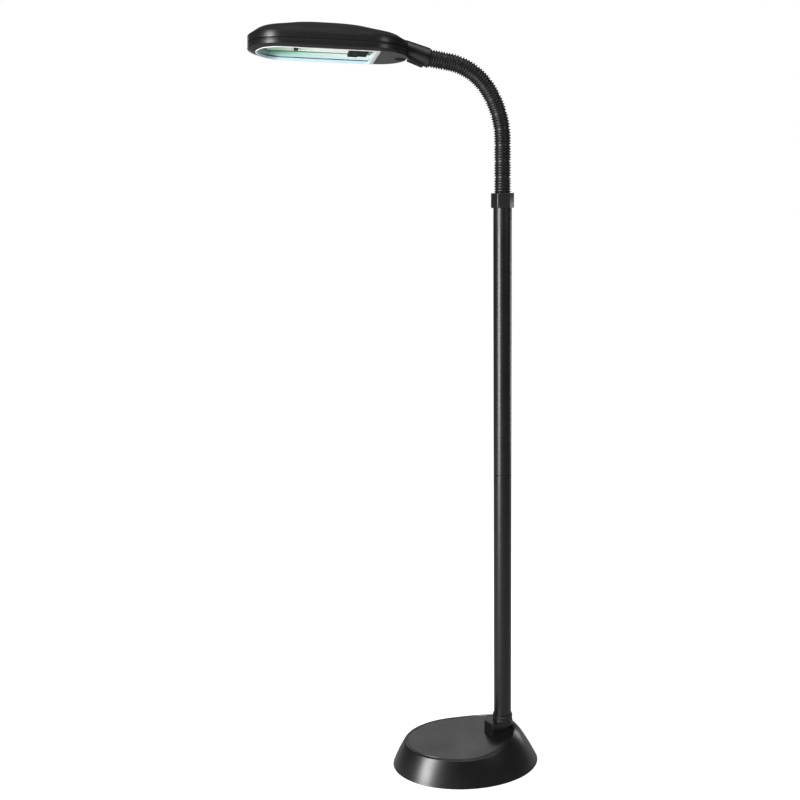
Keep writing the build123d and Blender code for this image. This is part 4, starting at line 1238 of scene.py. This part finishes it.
# Lens and frame
@dataclass
class Lens:
    """White frame that holds the lens, with its wide bar at the rear."""

    length: float = 230.0
    width: float = 138.0
    tip_run: float = 49.0
    corner: float = 3.0
    fit: float = 0.2
    lip: float = 2.6
    rear_lip: float = 9.0
    proud: float = 1.0
    top: float = 4.0
    edge: tuple[Point, ...] = ((0.5, 0.0), (0.15, 0.15), (0.0, 0.5))

    def half_plan(self, inset: float, rear: float) -> list[Point]:
        """Work out one half of the lens outline.

        Args:
            inset: How far its sides and tip are drawn in.
            rear: Where its rear lies.

        Returns:
            Plan points from the middle of its rear to its tip.
        """
        rear_n, corner_n, side_n, tip_n = HEAD.counts
        half, middle, corner = self.width / 2 - inset, self.length - self.tip_run, self.corner
        start, low, run = rear + corner, half - corner, self.tip_run - inset
        return [
            *line((rear, 0.0), (rear, low), rear_n),
            *arc((start, low), (corner, corner), math.pi, math.pi / 2, corner_n),
            *line((start, half), (middle, half), side_n),
            *arc((middle, 0.0), (run, half), math.pi / 2, 0.0, tip_n),
            (middle + run, 0.0),
        ]

    def build(self) -> None:
        """Make the frame as a rounded section that runs round the window."""
        low, fit = -self.proud, self.fit
        outer, inner = (fit, fit, self.top), (self.lip, self.rear_lip, self.top)
        stations = [
            outer,
            *((fit + draw, fit + draw, low + rise) for rise, draw in self.edge),
            *((self.lip - draw, self.rear_lip - draw, low + rise) for rise, draw in reversed(self.edge)),
            inner,
            outer,
        ]
        bm = bmesh.new()
        rings = [HEAD.ring(self.half_plan(inset, rear), height) for inset, rear, height in stations]
        skin = loft(bm, rings, capped=False)
        top = stations.index(inner)
        # The frame's inner wall takes the lens edge's pale blue colour and painted glow.
        wall = {*skin[top - 1], *skin[top]}
        for face in bm.faces:
            face.material_index = int(wall.issuperset(face.verts))
        frame = make_piece("lens_bezel", bm, WHITE_ABS, "head", ["lens_frame"])
        frame.data.materials.append(LENS_EDGE_GLOW.material())


# Switch
@dataclass
class Switch:
    """Rocker switch under the rear of the head: flange with rounded edges, and the rocker in it."""

    x: float = -45.0
    length: float = 20.0
    width: float = 15.0
    flange: float = 1.6
    flange_edge: float = 0.7
    opening_width: float = 8.9
    opening_slope: float = 0.3
    opening_depth: float = 1.2
    rocker_length: float = 12.4
    rocker_width: float = 8.0
    rocker_rise: float = 1.0
    rocker_depth: float = 7.5
    rocker_dip: float = 1.9
    rocker_edge: float = 0.5
    rocker_cuts: int = 5
    tilt: float = 9.0
    pivot: float = 2.5

    def build(self) -> None:
        """Make the flange and the rocker."""
        self._flange()
        self._rocker()

    def _flange(self) -> None:
        """Flange with a sunk opening."""
        bm = bmesh.new()
        add_box(bm, (self.length, self.width, self.flange))
        face = min(bm.faces, key=lambda item: item.calc_center_median().z)
        round_edges(bm, face.edges[:], self.flange_edge)
        face = min(bm.faces, key=lambda item: (round(item.calc_center_median().z, 3), -item.calc_area()))
        rim = (self.width - self.opening_width) / 2 - self.flange_edge
        sink(bm, face, rim, self.opening_slope, self.opening_depth)
        bmesh.ops.transform(bm, matrix=HEAD.axes.place(self.x, 0, -self.flange / 2), verts=bm.verts[:])
        make_piece("switch_bezel", bm, SWITCH_PC, "head", ["switch_body"])

    def _rocker(self) -> None:
        """Rocker with a hollow for the finger, tipped to its off side."""
        bm = bmesh.new()
        add_box(bm, (self.rocker_length, self.rocker_width, self.rocker_depth))
        bmesh.ops.translate(bm, vec=(0, 0, self.rocker_rise - self.rocker_depth / 2), verts=bm.verts[:])
        outer = min(bm.faces, key=lambda item: item.calc_center_median().z)
        long = [edge for edge in outer.edges if abs(edge.verts[0].co.x - edge.verts[1].co.x) > EDGE_RUN]
        bmesh.ops.subdivide_edges(bm, edges=long, cuts=self.rocker_cuts)
        low = min(vert.co.z for vert in bm.verts)
        for vert in bm.verts:
            if vert.co.z < low + SAME:
                vert.co.z += self.rocker_dip * (1 - (2 * vert.co.x / self.rocker_length) ** 2)
        round_edges(bm, [edge for edge in bm.edges if is_corner(edge)], self.rocker_edge)
        turn = Matrix.Rotation(math.radians(self.tilt), 4, "Y")
        bmesh.ops.transform(bm, matrix=HEAD.axes.place(self.x, 0, self.pivot) @ turn, verts=bm.verts[:])
        make_piece("switch_key", bm, SWITCH_PC, "rocker", ["switch_rocker"])


# Socket
@dataclass
class Socket:
    """Black socket of the lamp and the cap of its tubes, close above the lens."""

    x: float = 18.0
    bottom: float = 4.6
    top: float = 27.0
    length: float = 16.0
    width: float = 52.0
    cap_length: float = 20.0
    cap_width: float = 64.0
    cap_top: float = 23.0
    edge: float = 1.2
    pocket_rim: float = 3.0
    pocket_slope: float = 0.3
    pocket_depth: float = 1.4

    def build(self) -> None:
        """Make the socket and the cap that stands ahead of it."""
        ahead = self.x + self.length
        self._block("lamp_socket", self.x, self.length, self.width, self.top, "lamp_holder")
        self._block("lamp_cap", ahead, self.cap_length, self.cap_width, self.cap_top, "lamp_base")

    def _block(self, name: str, x: float, length: float, width: float, top: float, node: str) -> None:
        """Make one moulded block with softened edges and sunk panels below and on its two long sides.

        Args:
            name: The piece's name.
            x: Where it starts along the head.
            length: Its size along the head.
            width: Its size across the head.
            top: Height of its upper face.
            node: The solid that it stands for.
        """
        height = top - self.bottom
        bm = bmesh.new()
        add_box(bm, (length, width, height))
        round_edges(bm, bm.edges[:], self.edge)
        sides = sorted(bm.faces, key=lambda face: -face.calc_area())[:6]
        panels = [face for face in sides if face.normal.z < -FACING or abs(face.normal.y) > FACING]
        bmesh.ops.inset_individual(bm, faces=panels, thickness=self.pocket_rim, depth=0.0)
        bmesh.ops.inset_individual(bm, faces=panels, thickness=self.pocket_slope, depth=-self.pocket_depth)
        place = HEAD.axes.place(x + length / 2, 0, self.bottom + height / 2)
        bmesh.ops.transform(bm, matrix=place, verts=bm.verts[:])
        make_piece(name, bm, PBT_BLACK, "head", [node])


# Solids that show as they are
@dataclass
class Inside:
    """Solids that keep their shape and only take their finish."""

    finishes: tuple[tuple[Finish, tuple[str, ...]], ...] = (
        (CAST_IRON, ("base_weight",)),
        (ZINC_PLATE, ("base_plate",)),
        (ZINC_SCREW, ("weight_bolts", "base_screws", "head_screws", "neck_clamp", "clamp_screw")),
        (ZINC_SCREW, ("pole_stud", "pole_washer", "pole_nut", "pole_coupler")),
        (RUBBER, ("base_feet", "cord_grommet")),
        (NYLON, ("pole_foot_plug", "pole_top_plug")),
        (FLEX_PVC, ("supply_flex",)),
        (ACRYLIC, ("lens",)),
        (ENAMEL, ("reflector",)),
        (PHOSPHOR, ("lamp_tubes",)),
        (PBT_BLACK, ("tube_clip",)),
        (BOARD, ("ballast_board",)),
        (POTTING, ("ballast_parts",)),
        (CORE_ZINC, tuple(f"neck_core_{number + 1:02d}" for number in range(Neck.links))),
    )

    def dress(self, nodes: dict[str, bpy.types.Object]) -> None:
        """Put each finish on its solids.

        Args:
            nodes: The frame's solids by name.
        """
        for finish, names in self.finishes:
            for name in names:
                mesh = nodes[name].data
                mesh.materials.clear()
                mesh.materials.append(finish.material())
            LOG.info("%s on %d solids", finish.name, len(names))


# Studio
@dataclass(frozen=True)
class Softbox:
    """One soft light: where it stands, what it faces, its sides in metres and its power."""

    name: str
    place: tuple[float, float, float]
    target: tuple[float, float, float]
    sides: Point
    power: float


@dataclass
class Studio:
    """Pale floor, white surround, soft lights and the camera of the photograph."""

    eye: tuple[float, float, float] = (498.24, 2075.32, 1192.23)
    heading: float = 172.17
    pitch: float = 10.423
    roll: float = -1.029
    lens: float = 47.25
    sensor: float = 36.0
    floor_size: float = 14.0
    white: str = "#ffffff"
    surround: float = 0.1
    paper_white: float = 2.9
    paper_dim: float = 0.42
    boxes: tuple[Softbox, ...] = (
        Softbox("key_box", (1.95, 1.25, 1.06), (0.05, 0.0, 0.75), (0.72, 2.1), 104.0),
        Softbox("right_box", (-1.4, 1.7, 1.75), (0.15, 0.0, 1.4), (0.5, 0.5), 7.0),
        Softbox("side_box", (-1.9, -0.9, 0.7), (0.0, 0.0, 0.4), (0.5, 1.0), 8.0),
        Softbox("top_box", (0.2, 0.5, 2.9), (0.1, 0.0, 0.5), (1.6, 1.6), 22.0),
        Softbox("back_box", (0.2, -2.6, 1.6), (0.1, 0.0, 0.4), (2.6, 0.8), 9.0),
    )

    def camera(self) -> None:
        """Set the camera where the photograph was taken from."""
        data = bpy.data.cameras.new("photo_camera")
        data.sensor_fit = "HORIZONTAL"
        data.sensor_width = self.sensor
        data.lens = self.lens
        camera = add_object("photo_camera", data)
        turn = (
            Matrix.Rotation(math.radians(self.heading), 4, "Z")
            @ Matrix.Rotation(math.radians(90.0 - self.pitch), 4, "X")
            @ Matrix.Rotation(math.radians(self.roll), 4, "Z")
        )
        camera.matrix_world = Matrix.Translation(Vector(self.eye) * MM) @ turn
        bpy.context.scene.camera = camera

    def light(self) -> None:
        """Add the softboxes and the surround."""
        for box in self.boxes:
            data = bpy.data.lights.new(box.name, "AREA")
            data.shape = "RECTANGLE"
            data.size, data.size_y = box.sides
            data.energy = box.power
            lamp = add_object(box.name, data)
            turn = (Vector(box.target) - Vector(box.place)).to_track_quat("-Z", "Y")
            lamp.matrix_world = Matrix.Translation(box.place) @ turn.to_matrix().to_4x4()
        world = bpy.data.worlds.new("white_surround")
        world.use_nodes = True
        tree = world.node_tree
        tree.nodes.clear()
        seen = add_node(tree, "ShaderNodeLightPath").outputs["Is Camera Ray"]
        lit, white = (
            add_node(tree, "ShaderNodeBackground", {"Color": linear(self.white), "Strength": strength})
            for strength in (self.surround, 1.0)
        )
        mixed = add_node(tree, "ShaderNodeMixShader", {0: seen, 1: lit.outputs[0], 2: white.outputs[0]})
        add_node(tree, "ShaderNodeOutputWorld", {"Surface": mixed.outputs[0]})
        bpy.context.scene.world = world
        bpy.context.scene.view_settings.view_transform = "Standard"

    def floor(self) -> None:
        """Lay the pale floor."""
        bm = bmesh.new()
        bmesh.ops.create_grid(bm, x_segments=1, y_segments=1, size=self.floor_size / 2)
        mesh = bpy.data.meshes.new("studio_floor")
        bm.to_mesh(mesh)
        bm.free()
        mesh.materials.append(self._paper())
        floor = add_object("studio_floor", mesh)

    def _paper(self) -> bpy.types.Material:
        """Paper that reads plain white while the lamp mirrors it as a dimmer floor.

        Returns:
            The floor's material.
        """
        glow = self.paper_white
        sheet = Finish(
            "studio_paper", "", "#a2a2a2", "#9d9d9d", (0.85, 0.95), 400.0, 0.1, patch=900.0, glow=glow
        )
        paper = sheet.material()
        tree = paper.node_tree
        seen = add_node(tree, "ShaderNodeLightPath").outputs["Is Camera Ray"]
        shown = map_range(tree, seen, (0.0, 1.0), (self.paper_dim, self.paper_white))
        tree.links.new(shown, tree.nodes["Principled BSDF"].inputs["Emission Strength"])
        return paper


NECK = Neck()
HEAD = Head()
LENS = Lens()


def main() -> None:
    """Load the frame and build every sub-assembly."""
    logging.basicConfig(level=logging.INFO, format="%(name)s %(message)s")
    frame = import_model()
    studio = Studio()
    studio.camera()
    studio.light()
    studio.floor()
    for assembly in (Base(), Pole(), NECK, HEAD, LENS, Switch(), Socket()):
        LOG.info("building %s", type(assembly).__name__)
        assembly.build()
    Inside().dress(frame["nodes"])


if __name__ == "__main__":
    main()
